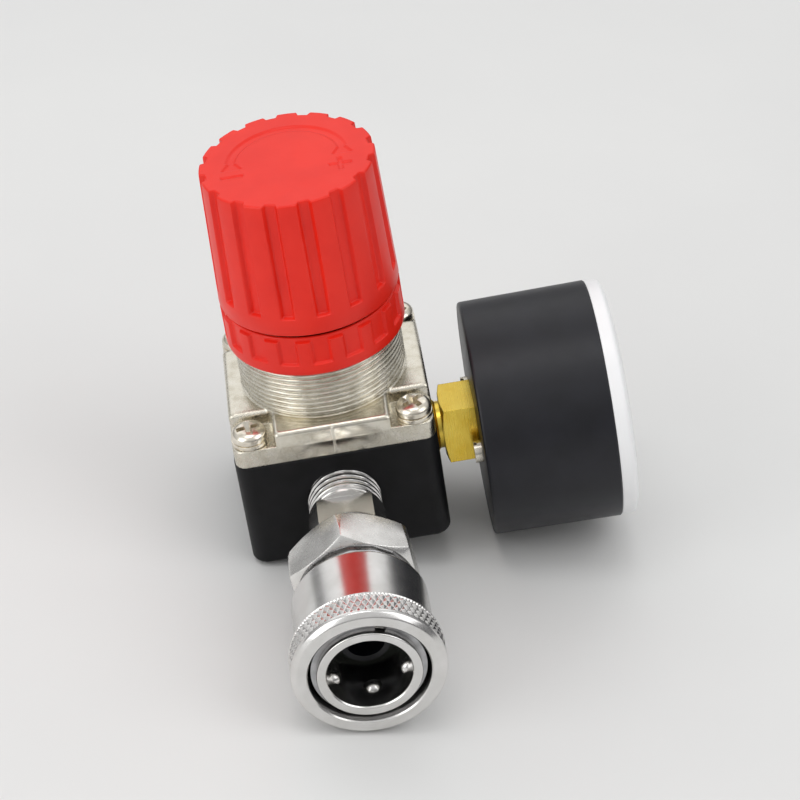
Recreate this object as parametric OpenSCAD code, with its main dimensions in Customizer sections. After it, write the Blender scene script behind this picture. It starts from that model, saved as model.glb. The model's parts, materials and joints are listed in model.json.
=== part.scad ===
// Air pressure regulator with a red adjusting knob, a panel nut on a threaded neck,
// a round pressure gauge on the right and a ball-lock quick coupler at the front.
// Origin: on the knob's axis at the bottom face of the body. +Z up, +X to the gauge, -Y to the coupler.
// All lengths are millimetres.

/* [Body] */
// Width and depth of the square black body
body_w = 36.4; // [34:0.2:44]
// Height of the body
body_h = 22; // [21:0.5:28]
// Radius of the body's upright edges
body_corner_r = 3; // [1:0.5:5]
// Chamfer round the body's bottom
body_chamfer = 0.8; // [0.2:0.1:1.5]
// Depth of the outlet and inlet ports
port_depth = 10; // [9:0.5:11]
// Wall radius of the inlet's threaded hole
inlet_r = 5.72; // [4.5:0.02:6]
// Height of the inlet's axis
inlet_z = 9; // [8:0.5:10]

/* [Bonnet] */
// How far the bonnet plate stays inside the body's sides
bonnet_inset = 0.2; // [0:0.1:1]
// Thickness of the bonnet's square plate
plate_h = 6.4; // [5:0.1:9]
// Radius of the plate's upright edges
plate_corner_r = 2.5; // [0.5:0.5:4]
// Crest radius of the neck's thread
neck_r = 15; // [14.8:0.1:15.4]
// Pitch of the neck's thread
neck_pitch = 1; // [0.75:0.25:2]
// Depth of the neck's thread
neck_thread_depth = 0.5; // [0.3:0.1:0.9]
// Height of the threaded neck above the plate
neck_h = 17.2; // [16:0.1:20]
// Radius of the smooth dome above the neck
dome_r = 13.2; // [12.9:0.1:13.4]
// Height of the dome above the neck
dome_h = 14.4; // [13:0.2:16]
// Thickness of the dome's top wall
dome_top = 3; // [2:0.5:4]
// Radius of the bore that holds the main spring
spring_bore_r = 11; // [10.8:0.1:11.2]

/* [Screws] */
// Distance of a screw's axis from the body's sides
screw_inset = 3.5; // [3:0.1:4]
// Radius of a screw's shank
screw_r = 1.95; // [1.5:0.05:2]
// Radius of a screw's head
screw_head_r = 3.2; // [2.5:0.1:3.3]
// Height of a screw's head
screw_head_h = 2.1; // [1.5:0.1:2.5]
// Thickness of a lock washer
washer_h = 0.9; // [0.5:0.1:1.2]
// Length of a screw under its head
screw_len = 16; // [10:0.5:20]

/* [Knob] */
// Radius of the knob at its bottom edge
knob_r = 16.1; // [15.8:0.1:18]
// Radius of the knob at its top
knob_top_r = 15.3; // [15.2:0.1:18]
// Height of the knob
knob_h = 26.1; // [25:0.1:30]
// Gap between the panel nut and the knob
knob_gap = 0.8; // [0.4:0.1:2]
// Number of flutes round the knob
flute_count = 16; // [10:1:20]
// Width of a flute
flute_w = 2.2; // [1:0.1:3]
// Depth of a flute
flute_depth = 0.9; // [0.3:0.1:1]
// Height of the plain band under the flutes
flute_start = 3.3; // [2:0.1:6]
// Thickness of the knob's top
knob_top = 2.5; // [1.5:0.1:3]
// Depth of the marks in the knob's top
mark_depth = 0.3; // [0.1:0.05:0.6]

/* [Panel nut] */
// Outer radius of the panel nut
nut_r = 16.1; // [16:0.1:18]
// Height of the panel nut
nut_h = 7.6; // [5:0.1:8]
// Number of pockets round the nut
pocket_count = 17; // [10:1:24]
// Width of a pocket
pocket_w = 3.4; // [1.5:0.1:3.6]
// Depth of a pocket
pocket_depth = 0.6; // [0.2:0.1:0.7]
// Height of the plain band under the pockets
pocket_start = 2; // [1:0.1:4]
// Height of the step over the ribs
rib_drop = 0.8; // [0.2:0.1:2]

/* [Gauge] */
// Height of the gauge's axis
gauge_z = 11.3; // [11:0.1:12.5]
// Turn of the gauge about its own axis, degrees
gauge_roll = -8; // [-20:1:20]
// Outer radius of the gauge case at its front
case_r = 21.9; // [20.5:0.1:26]
// Depth of the gauge case
case_depth = 23.55; // [22.5:0.05:26]
// Gap between the body and the back of the case
case_gap = 7.7; // [7:0.1:12]
// Wall of the gauge case
case_wall = 1.7; // [1.2:0.1:2]
// Height of the window in front of the case
window_h = 3.7; // [3.2:0.1:6]
// Crest radius of the gauge stem's thread
stem_r = 4.86; // [4:0.02:5]
// Width across the flats of the stem's square
stem_square = 10.7; // [9:0.1:12]
// Length of the pointer from its axis to its tip
pointer_len = 15.5; // [10:0.5:16]

/* [Coupler] */
// Height of the coupler's axis
coupler_z = 12.1; // [11.5:0.1:13]
// Crest radius of the coupler's thread
shank_r = 6.58; // [6:0.02:6.8]
// Length of the coupler in front of the body
coupler_len = 47.8; // [47.4:0.1:52]
// Width across the flats of the coupler's hexagon
hex_af = 21; // [20.5:0.5:27]
// Length of the hexagon
hex_len = 8.3; // [5:0.1:9]
// Radius of the smooth part of the sleeve
sleeve_r = 11.8; // [11.5:0.1:13]
// Radius of the knurled band of the sleeve
knurl_r = 13.2; // [13.1:0.1:15]
// Length of the sleeve
sleeve_len = 18.6; // [18.2:0.1:19]
// Travel of the sleeve as it is pulled back
sleeve_travel = 2.8; // [2:0.1:2.9]
// Outer radius of the nose tube
nose_r = 8.9; // [8.6:0.1:9]
// Bore radius of the nose tube
mouth_r = 7; // [6.5:0.1:7.2]
// Radius of a locking ball
ball_r = 1.5; // [1.2:0.1:1.6]
// Number of turns of the sleeve spring
sleeve_turns = 5; // [3:0.5:6]

/* [Adjustment] */
// Radius of the adjusting screw's thread
adjust_r = 4; // [3:0.1:4.2]
// Pitch of the adjusting screw
adjust_pitch = 1.5; // [1:0.25:2]
// Wire of the main spring
main_wire = 2; // [1:0.1:2.4]
// Mean radius of the main spring
main_coil_r = 8; // [7.4:0.1:8.4]
// Number of turns of the main spring
main_turns = 5.5; // [3:0.5:7]

/* [Clearances] */
// Radial room of a turning or sliding fit
running_gap = 0.06; // [0.02:0.01:0.1]
// Room between parts that only pass each other
free_gap = 0.15; // [0.1:0.05:0.3]

/* [Hidden] */
$fn = 64;

// Number of rings in a turn of wire, and of sides round it
ring_steps = 16;
wire_sides = 6;

// Heights of the stack on the knob's axis
plate_w = body_w - 2 * bonnet_inset;
plate_top = body_h + plate_h;
neck_top = plate_top + neck_h;
neck_root = neck_r - neck_thread_depth;
dome_z = neck_top + dome_h;
nut_over_neck = 0.3;
nut_z = neck_top - nut_h + nut_over_neck;
skirt_z = nut_z + nut_h + knob_gap;
knob_z = skirt_z + knob_h;

// Diaphragm and chamber
diaphragm_t = 1.2;
diaphragm_r = spring_bore_r + 4.4;
chamber_r = spring_bore_r + 1;
chamber_h = 3.3;
recess_z = body_h - diaphragm_t;
chamber_z = recess_z - chamber_h;
plate_disc_r = spring_bore_r - 0.5;
plate_disc_h = 1.6;
rivet_r = 1.9;
rivet_flange_r = 5;
rivet_flange_h = 1.4;

// Valve
valve_r = 6;
plug_r = 6.4;
plug_top = 5;
plug_pin_r = 0.9;
plug_pin_at = 4.2;
plug_pin_depth = 1.5;
plug_pocket_r = 3.6;
plug_pocket_depth = 2;
seat_r = 5;
seat_h = 3.5;
seat_lip = 0.5;
orifice_r = 2.6;
valve_roof = chamber_z - 6;
seat_z = valve_roof - seat_lip;
valve_travel = 1.2;
poppet_r = 4.2;
poppet_h = 2.9;
disc_r = 3.6;
disc_h = 1.5;
poppet_stem_r = 1.2;
touch = 0.04;
valve_wire = 0.7;
valve_coil_r = 2.8;
valve_turns = 3.5;
ring_wire_r = 0.55;
ring_r = plug_r - ring_wire_r;
ring_z = plug_top - 1.3;
passage_r = 2.4;
passage_z = plug_top + passage_r + 0.1;
riser_r = 1.4;

// Screw pockets in the bonnet's corners
head_rise = 0.2;
pocket_room = 1.1;
screw_pitch = body_w / 2 - screw_inset;
pocket_in = screw_pitch - screw_head_r - pocket_room;
pocket_mid = pocket_in + plate_w / 2;
pocket_floor = plate_top - screw_head_h - washer_h + head_rise;

// Adjusting screw and spring seat
adjust_turns = 5;
seat_travel = adjust_turns * adjust_pitch;
collar_r = 7;
collar_h = 2;
thrust_h = 1.5;
dome_under = dome_z - dome_top;
thrust_z = dome_under - thrust_h - touch;
collar_z = thrust_z - collar_h - touch;
carrier_h = 4;
carrier_z = collar_z - carrier_h - 2.6;
carrier_r = spring_bore_r - 0.3;
carrier_boss_r = main_coil_r - main_wire / 2 - 0.6;
carrier_boss_h = 2;
key_w = 4;
key_depth = 1;
adjust_end = carrier_z - carrier_boss_h - seat_travel - 1;
drive_r = 3.9;
drive_top = knob_z - knob_top - 1;
hub_r = 6.5;
knob_bore_r = dome_r + 0.3;
main_z = body_h + plate_disc_h;
adjust_root = adjust_r - 0.7;

// First flute and first rib, degrees from +X
flute_turn = -83;
nut_rib_turn = -99;

// Knob marks
arrow_r = 9.8;
arrow_w = 1.5;
arrow_head = 2.8;
mark_w = 0.9;
mark_len = 3.8;
mark_spread = 9.4;
mark_y = -3.6;

// Gauge, measured along its own axis from the knob's axis
case_x = body_w / 2 + case_gap;
case_front = case_x + case_depth;
case_back = 2;
case_taper = 0.3;
case_in_r = case_r - case_taper - case_wall;
stem_len = 5.7;
stem_show = 1.4;
stem_pitch = 0.907;
stem_thread_depth = 0.5;
stem_bore_r = 1.4;
stem_x = body_w / 2 - stem_len;
square_x = body_w / 2 + stem_show;
square_len = case_x - square_x;
square_ease = 0.5;
square_end_r = stem_square / 2 + 0.25;
square_slope = (stem_square / sqrt(2) - square_end_r) / square_ease;
gauge_port_x = stem_x - 3.2;
case_screw_head_r = 2;
case_screw_head_h = 1.4;
case_screw_r = 1.2;
case_slot_w = 0.6;
case_slot_depth = 0.6;
case_screw_turn = 13;
case_screw_len = 4.5;
case_screw_hole = case_screw_len + 1.5;
throat_r = 4.8;
block_x = case_x + case_back;
block_h = 8.4;
block_half_x = 4.5;
block_drop = 13;
block_foot = 3.2;
tube_r = 12.5;
tube_t = 1.8;
tube_w = 6.2;
tube_pin_r = 0.5;
block_r = tube_r - tube_t / 2 - 2 * free_gap;
case_screw_inset = 2.25;
case_screw_pitch = block_r - case_screw_inset;
block_half_y = case_screw_pitch + 2.4;
tube_start = 13;
tube_end = 285;
frame_room = 0.6;
frame_r = tube_r - tube_t / 2 - frame_room;
frame_t = 1;
frame_x = block_x + block_h;
dial_t = 0.6;
dial_x = case_front - 4.25;
dial_r = case_in_r - 0.7;
frame_front_x = dial_x - frame_t;
post_r = 1;
arbor_r = 0.7;
arbor_end = dial_x + 2.4;
gear_module = 0.15;
pinion_teeth = 12;
sector_ratio = 9;
sector_teeth = pinion_teeth * sector_ratio;
pinion_r = gear_module * pinion_teeth / 2;
sector_r = gear_module * sector_teeth / 2;
sector_dist = pinion_r + sector_r;
sector_sweep = 30;
sector_at = 300;
sector_x = frame_x + 3.2;
sector_t = 1;
sector_hub_r = 1.5;
sector_tail = 3.6;
tail_w = 1.3;
link_w = 1;
link_t = 0.5;
pointer_x = dial_x + dial_t + 0.8;
pointer_t = 0.5;
pointer_hub_r = 1.7;
pointer_tail = 5;
pointer_rest = -45;
stop_pin_r = 0.45;
stop_at = 11.5;
stop_turn = pointer_rest + 5;
window_wall = 1.6;
window_skirt = 2.6;
window_band = 2.3;
dial_screw_at = 8.2;
dial_screw_r = 0.6;
dial_screw_head_h = 0.4;

// Coupler, measured along its own axis from the knob's axis
shank_len = 5.7;
shank_pitch = 1.337;
shank_thread_depth = 0.75;
shank_s = body_w / 2 - shank_len;
shank_show = 5.3;
neck_s = body_w / 2 + shank_show;
flat_len = 8;
flat_end_s = neck_s + flat_len;
coupler_neck_r = shank_r + 0.25;
flat_h = 4.7;
coupler_end = body_w / 2 + coupler_len;
sleeve_s = coupler_end - sleeve_len;
hex_end = sleeve_s - sleeve_travel - 0.25;
hex_s = hex_end - hex_len;
hex_turn = 36;
hex_r = hex_af / sqrt(3);
flare_start_r = coupler_neck_r + 0.6;
flare_r = hex_af / 2 - 0.1;
hex_ease = 0.3;
hex_chamfer_h = 1.1;
adapter_bore_r = 4;
valve_room_r = mouth_r + 0.2;
nose_joint = 4.5;
valve_room_lead = 1.5;
valve_room_s = hex_s - valve_room_lead;
nose_s = hex_end - nose_joint;
ball_s = coupler_end - 5;
ball_count = 6;
ball_in = mouth_r + 0.45;
entry_r = mouth_r + 0.2;
entry_s = ball_s + ball_r + free_gap;
ramp_slope = 0.37;
ramp_r = ball_in + ball_r + free_gap;
land_r = nose_r + running_gap;
mouth_open_r = nose_r + 1.46;
ramp_start = ball_s - (ramp_r - land_r) / ramp_slope;
ramp_stop = ball_s + (mouth_open_r - ramp_r) / ramp_slope;
sleeve_bore_r = sleeve_r - 1.6;
shoulder_s = ball_s - 4;
sleeve_wire = 0.9;
sleeve_coil_r = (nose_r / cos(180 / ring_steps) + sleeve_bore_r) / 2;
knurl_s = ball_s - 1;
knurl_end = ball_s + 4.2;
sleeve_face_r = knurl_r - 0.7;
snap_s = ball_s + 2.5;
snap_h = 0.8;
snap_r = nose_r + 0.85;
snap_in = nose_r - 0.6;
seal_s = ball_s - 9.8;
seal_h = 2.8;
seal_groove_r = mouth_r + 0.5;
seal_r = mouth_r - 1.7;
lip_h = 2;
lip_s = seal_s - lip_h;
check_seal_h = 1.2;
check_head_r = valve_room_r - 0.8;
check_head_h = 2.2;
check_tip_r = seal_r - 0.9;
check_tip_h = 3.4;
check_hole_r = 0.9;
check_wall = 1;
check_guide_r = 2.4;
check_guide_h = 4;
check_travel = 3;
check_wire = 0.9;
check_coil_r = 4.6;
check_turns = 5;

body_black = [0.09, 0.09, 0.1];
case_black = [0.14, 0.14, 0.16];
knob_red = [0.86, 0.16, 0.13];
nickel = [0.78, 0.74, 0.66];
chrome = [0.8, 0.81, 0.82];
steel = [0.62, 0.63, 0.65];
brass = [0.82, 0.68, 0.26];
rubber = [0.06, 0.06, 0.06];
dial_white = [0.94, 0.94, 0.92];
clear = [0.9, 0.93, 0.95, 0.4];

// Outline of a square with round corners, each corner an arc of short straight steps
function rounded_square(w, r, steps = 6) = [
    for (corner = [0 : 3], i = [0 : steps])
        let (turn = 90 * corner + 90 * i / steps,
             side = w / 2 - r,
             cx = (corner == 0 || corner == 3) ? side : -side,
             cy = corner < 2 ? side : -side)
        [cx + r * cos(turn), cy + r * sin(turn)]
];

// Side view of a block whose bottom edges are chamfered
function chamfered_side(w, h, c) =
    [[-w / 2 + c, 0], [w / 2 - c, 0], [w / 2, c], [w / 2, h], [-w / 2, h], [-w / 2, c]];

// Outline of a threaded shaft from z0 to z1, as one ridge per pitch
function ridges(z0, z1, pitch, crest, root) =
    let (count = floor((z1 - z0) / pitch + 0.001))
    concat([[0, z0]],
        [for (i = [0 : count - 1], point = [[root, 0], [crest, 0.4], [crest, 0.55], [root, 0.95]])
            [point[0], z0 + (i + point[1]) * pitch]],
        [[root, z1], [0, z1]]);

// Centre line of a coil of wire between two end planes
function coil_line(r, wire, z0, z1, turns) =
    let (count = round(turns * ring_steps), rise = z1 - z0 - wire)
    [for (i = [0 : count])
        let (turn = 360 * i / ring_steps)
        [r * cos(turn), r * sin(turn), z0 + wire / 2 + rise * i / count]];

// Least gap between the turns of a coil
function coil_gap(line, wire) =
    min([for (i = [0 : len(line) - 1], j = [i + ring_steps / 2 : len(line) - 1])
        norm(line[i] - line[j])]) - wire;

// One unbroken tube of wire along a coil's centre line
module coil(name, r, wire, z0, z1, turns) {
    line = coil_line(r, wire, z0, z1, turns);
    count = len(line);
    echo(str("least gap of ", name), coil_gap(line, wire));
    points = [for (i = [0 : count - 1], k = [0 : wire_sides - 1])
        let (turn = 360 * i / ring_steps, round_wire = 360 * k / wire_sides,
             out = r + wire / 2 * cos(round_wire))
        [out * cos(turn), out * sin(turn), line[i][2] + wire / 2 * sin(round_wire)]];
    sides = [for (i = [0 : count - 2], k = [0 : wire_sides - 1], half = [0 : 1])
        let (next = (k + 1) % wire_sides, a = i * wire_sides, b = a + wire_sides)
        half == 0 ? [a + k, b + k, b + next] : [a + k, b + next, a + next]];
    first_end = [for (k = [1 : wire_sides - 2]) [0, k, k + 1]];
    last = (count - 1) * wire_sides;
    last_end = [for (k = [1 : wire_sides - 2]) [last, last + k + 1, last + k]];
    polyhedron(points, concat(sides, first_end, last_end));
}

// Ring with a round section
module o_ring(r, wire_r) {
    rotate_extrude() translate([r, 0]) circle(wire_r, $fn = 24);
}

// Plain ring between two radii
module washer(outer, inner, h) {
    difference() {
        cylinder(r = outer, h = h);
        translate([0, 0, -1]) cylinder(r = inner, h = h + 2);
    }
}

module at_screws() {
    for (x = [-1, 1], y = [-1, 1])
        translate([x * screw_pitch, y * screw_pitch, 0]) children();
}

// Gauge frame: local z runs out along +X, local -x points up the dial
module at_gauge() {
    translate([0, 0, gauge_z]) rotate([gauge_roll, 0, 0]) rotate([0, 90, 0]) children();
}

// Coupler frame: local z runs out along -Y, local y points up
module at_coupler() {
    translate([0, 0, coupler_z]) rotate([90, 0, 0]) children();
}

// Body, valve and diaphragm
module body() {
    color(body_black) difference() {
        intersection() {
            linear_extrude(body_h) polygon(rounded_square(body_w, body_corner_r));
            rotate([90, 0, 0]) linear_extrude(2 * body_w, center = true)
                polygon(chamfered_side(body_w, body_h, body_chamfer));
            rotate([90, 0, 90]) linear_extrude(2 * body_w, center = true)
                polygon(chamfered_side(body_w, body_h, body_chamfer));
        }
        translate([0, 0, recess_z]) cylinder(r = diaphragm_r + free_gap, h = diaphragm_t + 1);
        translate([0, 0, chamber_z]) cylinder(r = chamber_r, h = chamber_h + 1);
        translate([0, 0, valve_roof]) cylinder(r = seat_r + running_gap, h = seat_h - seat_lip);
        cylinder(r = orifice_r + 0.4, h = chamber_z + 1);
        translate([0, 0, plug_top - 1]) cylinder(r = valve_r, h = valve_roof - plug_top + 1);
        translate([0, 0, -1]) cylinder(r = plug_r + running_gap, h = plug_top + 1);
        at_coupler() translate([0, 0, body_w / 2 - port_depth])
            cylinder(r = shank_r + running_gap, h = port_depth + 1);
        at_gauge() translate([0, 0, gauge_port_x])
            cylinder(r = stem_r + running_gap, h = body_w / 2);
        translate([gauge_port_x + riser_r + 0.1, 0, gauge_z])
            cylinder(r = riser_r, h = chamber_z - gauge_z + 1);
        translate([0, body_w / 2 - port_depth, inlet_z]) rotate([-90, 0, 0])
            cylinder(r = inlet_r, h = port_depth + 1);
        translate([0, 0, passage_z]) rotate([-90, 0, 0])
            cylinder(r = passage_r, h = body_w / 2 - port_depth + 1);
        at_screws() translate([0, 0, pocket_floor - screw_len - 1])
            cylinder(r = screw_r + running_gap, h = screw_len + body_h);
    }
}

module bottom_plug() {
    color(brass) difference() {
        cylinder(r = plug_r, h = plug_top);
        for (x = [-1, 1])
            translate([x * plug_pin_at, 0, -1]) cylinder(r = plug_pin_r, h = plug_pin_depth + 1);
        translate([0, 0, plug_top - plug_pocket_depth])
            cylinder(r = plug_pocket_r, h = plug_pocket_depth + 1);
        translate([0, 0, ring_z - ring_wire_r - running_gap])
            washer(plug_r + 1, plug_r - 2 * ring_wire_r - running_gap, 2 * (ring_wire_r + running_gap));
    }
}

module plug_o_ring() {
    color(rubber) translate([0, 0, ring_z]) o_ring(ring_r, ring_wire_r);
}

module valve_seat() {
    color(brass) translate([0, 0, seat_z]) washer(seat_r, orifice_r, seat_h);
}

module valve_spring() {
    color(steel) coil("valve spring", valve_coil_r, valve_wire, plug_top - plug_pocket_depth + touch,
        seat_z - poppet_h - touch, valve_turns);
}

module valve_poppet() {
    color(brass) difference() {
        union() {
            translate([0, 0, seat_z - poppet_h]) cylinder(r = poppet_r, h = poppet_h - touch - 0.2);
            translate([0, 0, seat_z - poppet_h])
                cylinder(r = poppet_stem_r, h = recess_z - rivet_flange_h - touch - seat_z + poppet_h);
        }
        translate([0, 0, seat_z - disc_h]) washer(disc_r + running_gap, poppet_stem_r, disc_h);
    }
}

module valve_disc() {
    color(rubber) translate([0, 0, seat_z - disc_h + touch])
        washer(disc_r, poppet_stem_r + running_gap, disc_h - 2 * touch);
}

module diaphragm() {
    color(rubber) translate([0, 0, recess_z]) washer(diaphragm_r, rivet_r + running_gap, diaphragm_t);
}

module diaphragm_rivet() {
    color(brass) {
        translate([0, 0, recess_z - rivet_flange_h])
            cylinder(r = rivet_flange_r, h = rivet_flange_h - touch);
        translate([0, 0, recess_z - rivet_flange_h])
            cylinder(r = rivet_r, h = rivet_flange_h + diaphragm_t + plate_disc_h + 1.4);
    }
}

module diaphragm_plate() {
    color(steel) translate([0, 0, body_h + touch]) {
        washer(plate_disc_r, rivet_r + running_gap, plate_disc_h - 2 * touch);
        washer(carrier_boss_r, rivet_r + running_gap, plate_disc_h + carrier_boss_h);
    }
}

// Bonnet and its screws
module bonnet() {
    color(nickel) difference() {
        union() {
            translate([0, 0, body_h]) linear_extrude(plate_h)
                polygon(rounded_square(plate_w, plate_corner_r));
            rotate_extrude()
                polygon(ridges(plate_top - neck_pitch, neck_top, neck_pitch, neck_r, neck_root));
            translate([0, 0, neck_top - 1]) cylinder(r = dome_r, h = dome_h + 1);
        }
        for (x = [-1, 1], y = [-1, 1])
            translate([x * pocket_mid, y * pocket_mid, pocket_floor + plate_h / 2])
                cube([plate_w, plate_w, plate_h], center = true);
        translate([0, 0, body_h - 1]) cylinder(r = spring_bore_r, h = dome_under - body_h + 1);
        for (turn = [0, 180])
            rotate([0, 0, turn]) translate([0, -key_w / 2, body_h - 1])
                cube([spring_bore_r + key_depth, key_w, dome_under - body_h]);
        cylinder(r = adjust_r + running_gap, h = dome_z + 1);
        at_screws() cylinder(r = screw_r + free_gap, h = plate_top);
    }
}

module bonnet_screws() {
    color(steel) at_screws() difference() {
        union() {
            translate([0, 0, pocket_floor + washer_h]) cylinder(r = screw_head_r, h = screw_head_h * 0.55);
            translate([0, 0, pocket_floor + washer_h + screw_head_h * 0.55])
                cylinder(r1 = screw_head_r, r2 = screw_head_r * 0.6, h = screw_head_h * 0.45);
            translate([0, 0, pocket_floor + washer_h - screw_len])
                cylinder(r = screw_r, h = screw_len + 0.1);
        }
        for (turn = [0, 90])
            rotate([0, 0, turn + 20]) translate([0, 0, pocket_floor + washer_h + screw_head_h])
                cube([screw_head_r * 1.15, screw_head_r * 0.28, screw_head_h * 1.3], center = true);
    }
}

module lock_washers() {
    color(steel) at_screws() translate([0, 0, pocket_floor]) difference() {
        washer(screw_head_r + 0.15, screw_r + running_gap, washer_h);
        rotate([0, 0, 200]) translate([0, -0.25, -1]) cube([screw_head_r + 1, 0.5, washer_h + 2]);
    }
}

// Adjustment
module main_spring() {
    color(steel) coil("main spring", main_coil_r, main_wire, main_z + touch, carrier_z - touch, main_turns);
}

module spring_seat() {
    color(brass) difference() {
        union() {
            translate([0, 0, carrier_z]) cylinder(r = carrier_r, h = carrier_h);
            translate([0, 0, carrier_z - carrier_boss_h]) cylinder(r = carrier_boss_r, h = carrier_h);
            translate([0, 0, carrier_z + carrier_h / 2])
                cube([2 * (spring_bore_r + key_depth - free_gap), key_w - 2 * free_gap, carrier_h],
                    center = true);
        }
        translate([0, 0, carrier_z - carrier_boss_h - 1])
            cylinder(r = adjust_r + running_gap, h = carrier_h + carrier_boss_h + 2);
    }
}

module adjusting_screw() {
    color(steel) {
        rotate_extrude() polygon(ridges(adjust_end, collar_z + 0.1, adjust_pitch, adjust_r, adjust_root));
        translate([0, 0, collar_z]) cylinder(r = collar_r, h = collar_h);
        translate([0, 0, collar_z]) cylinder(r = adjust_r, h = dome_z + 0.3 - collar_z);
        translate([0, 0, dome_z]) cylinder(r = drive_r, h = drive_top - dome_z, $fn = 6);
    }
}

module thrust_washer() {
    color(brass) translate([0, 0, thrust_z + touch])
        washer(collar_r, adjust_r + running_gap, thrust_h - touch);
}

module panel_nut() {
    color(knob_red) translate([0, 0, nut_z]) difference() {
        washer(nut_r, neck_r + running_gap, nut_h);
        for (i = [0 : pocket_count - 1])
            rotate([0, 0, 360 * (i + 0.5) / pocket_count + nut_rib_turn])
                translate([nut_r - pocket_depth, -pocket_w / 2, pocket_start])
                    cube([pocket_w, pocket_w, nut_h]);
        translate([0, 0, nut_h - rib_drop]) washer(nut_r + 1, nut_r - pocket_depth, rib_drop + 1);
    }
}

// Band of the curved arrow with a head at each end, over the back half of the knob's top
module arrow_outline() {
    difference() {
        circle(arrow_r + arrow_w / 2);
        circle(arrow_r - arrow_w / 2);
        translate([-2 * arrow_r, -4 * arrow_r + 1.6]) square(4 * arrow_r);
    }
    for (side = [-1, 1])
        translate([side * arrow_r, 0])
            polygon([[-arrow_head / 2, 2], [arrow_head / 2, 2], [0, 2 - arrow_head]]);
}

module knob_marks() {
    arrow_outline();
    translate([-mark_spread, mark_y]) square([mark_len, mark_w], center = true);
    translate([mark_spread, mark_y]) {
        square([mark_len, mark_w], center = true);
        square([mark_w, mark_len], center = true);
    }
}

module knob() {
    taper = atan((knob_r - knob_top_r) / knob_h);
    color(knob_red) difference() {
        union() {
            difference() {
                translate([0, 0, skirt_z]) cylinder(r1 = knob_r, r2 = knob_top_r, h = knob_h);
                translate([0, 0, skirt_z - 1]) cylinder(r = knob_bore_r, h = knob_h - knob_top + 1);
            }
            translate([0, 0, dome_z + 0.5]) cylinder(r = hub_r, h = knob_z - knob_top - dome_z);
        }
        for (i = [0 : flute_count - 1])
            rotate([0, 0, 360 * i / flute_count + flute_turn])
                translate([knob_r - flute_depth, -flute_w / 2, skirt_z]) rotate([0, -taper, 0])
                    translate([0, 0, flute_start]) cube([flute_w, flute_w, knob_h]);
        translate([0, 0, dome_z])
            cylinder(r = drive_r + running_gap, h = drive_top - dome_z + 0.2, $fn = 6);
        translate([0, 0, knob_z - mark_depth]) linear_extrude(mark_depth + 1) knob_marks();
    }
}

// Gauge
module gauge_socket() {
    color(brass) at_gauge() difference() {
        union() {
            rotate_extrude()
                polygon(ridges(stem_x, square_x + 0.1, stem_pitch, stem_r, stem_r - stem_thread_depth));
            intersection() {
                translate([0, 0, square_x]) linear_extrude(square_len) square(stem_square, center = true);
                translate([0, 0, square_x])
                    cylinder(r1 = square_end_r, r2 = square_end_r + square_slope * square_len,
                        h = square_len);
            }
            translate([0, 0, case_x - 0.5]) cylinder(r = throat_r, h = case_back + 1);
            intersection() {
                translate([-block_half_x, -block_half_y, block_x])
                    cube([2 * block_half_x, 2 * block_half_y, block_h]);
                translate([0, 0, block_x]) cylinder(r = block_r, h = block_h);
            }
            translate([0, -block_foot, block_x]) cube([block_drop, 2 * block_foot, block_h]);
        }
        translate([0, 0, stem_x - 1]) cylinder(r = stem_bore_r, h = block_x + block_h / 2 - stem_x + 1);
        at_case_screws() translate([0, 0, block_x - 1])
            cylinder(r = case_screw_r + running_gap, h = case_screw_hole);
        tube_slot();
    }
}

// The two places of the case screws, in the gauge's own frame
module at_case_screws() {
    for (side = [-1, 1])
        rotate([0, 0, case_screw_turn]) translate([0, side * case_screw_pitch, 0]) children();
}

// Space in the socket's foot for the end of the pressure tube
module tube_slot() {
    translate([0, 0, block_x + block_h / 2])
        rotate([0, 0, tube_start - 6]) rotate_extrude(angle = 30)
            translate([tube_r, 0]) square([tube_t + 0.1, tube_w + 0.1], center = true);
}

module gauge_case() {
    color(case_black) at_gauge() difference() {
        translate([0, 0, case_x]) cylinder(r1 = case_r - case_taper, r2 = case_r, h = case_depth);
        translate([0, 0, case_x + case_back]) cylinder(r = case_in_r, h = case_depth);
        translate([0, 0, case_x - 1]) cylinder(r = throat_r + free_gap, h = case_back + 2);
        at_case_screws() translate([0, 0, case_x - 1])
            cylinder(r = case_screw_r + free_gap, h = case_back + 2);
    }
}

module case_screws() {
    color(steel) at_gauge() at_case_screws() translate([0, 0, case_x])
        difference() {
            union() {
                translate([0, 0, -case_screw_head_h])
                    cylinder(r = case_screw_head_r, h = case_screw_head_h);
                translate([0, 0, -0.1]) cylinder(r = case_screw_r, h = case_back + case_screw_len);
            }
            translate([0, 0, -case_screw_head_h])
                cube([3 * case_screw_head_r, case_slot_w, 2 * case_slot_depth], center = true);
        }
}

module bourdon_tube() {
    tip = [tube_r * cos(tube_end), tube_r * sin(tube_end)];
    color(brass) at_gauge() translate([0, 0, block_x + block_h / 2]) {
        rotate([0, 0, tube_start]) rotate_extrude(angle = tube_end - tube_start)
            translate([tube_r, 0]) square([tube_t, tube_w], center = true);
        translate([tip[0], tip[1], 0])
            cylinder(r = tube_pin_r, h = sector_x - block_x - block_h / 2 - touch, $fn = 24);
    }
}

// Corners of the movement's three posts, in the gauge's own frame
post_places = [[-8, -4], [-4, 8], [9, 3]];

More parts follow.
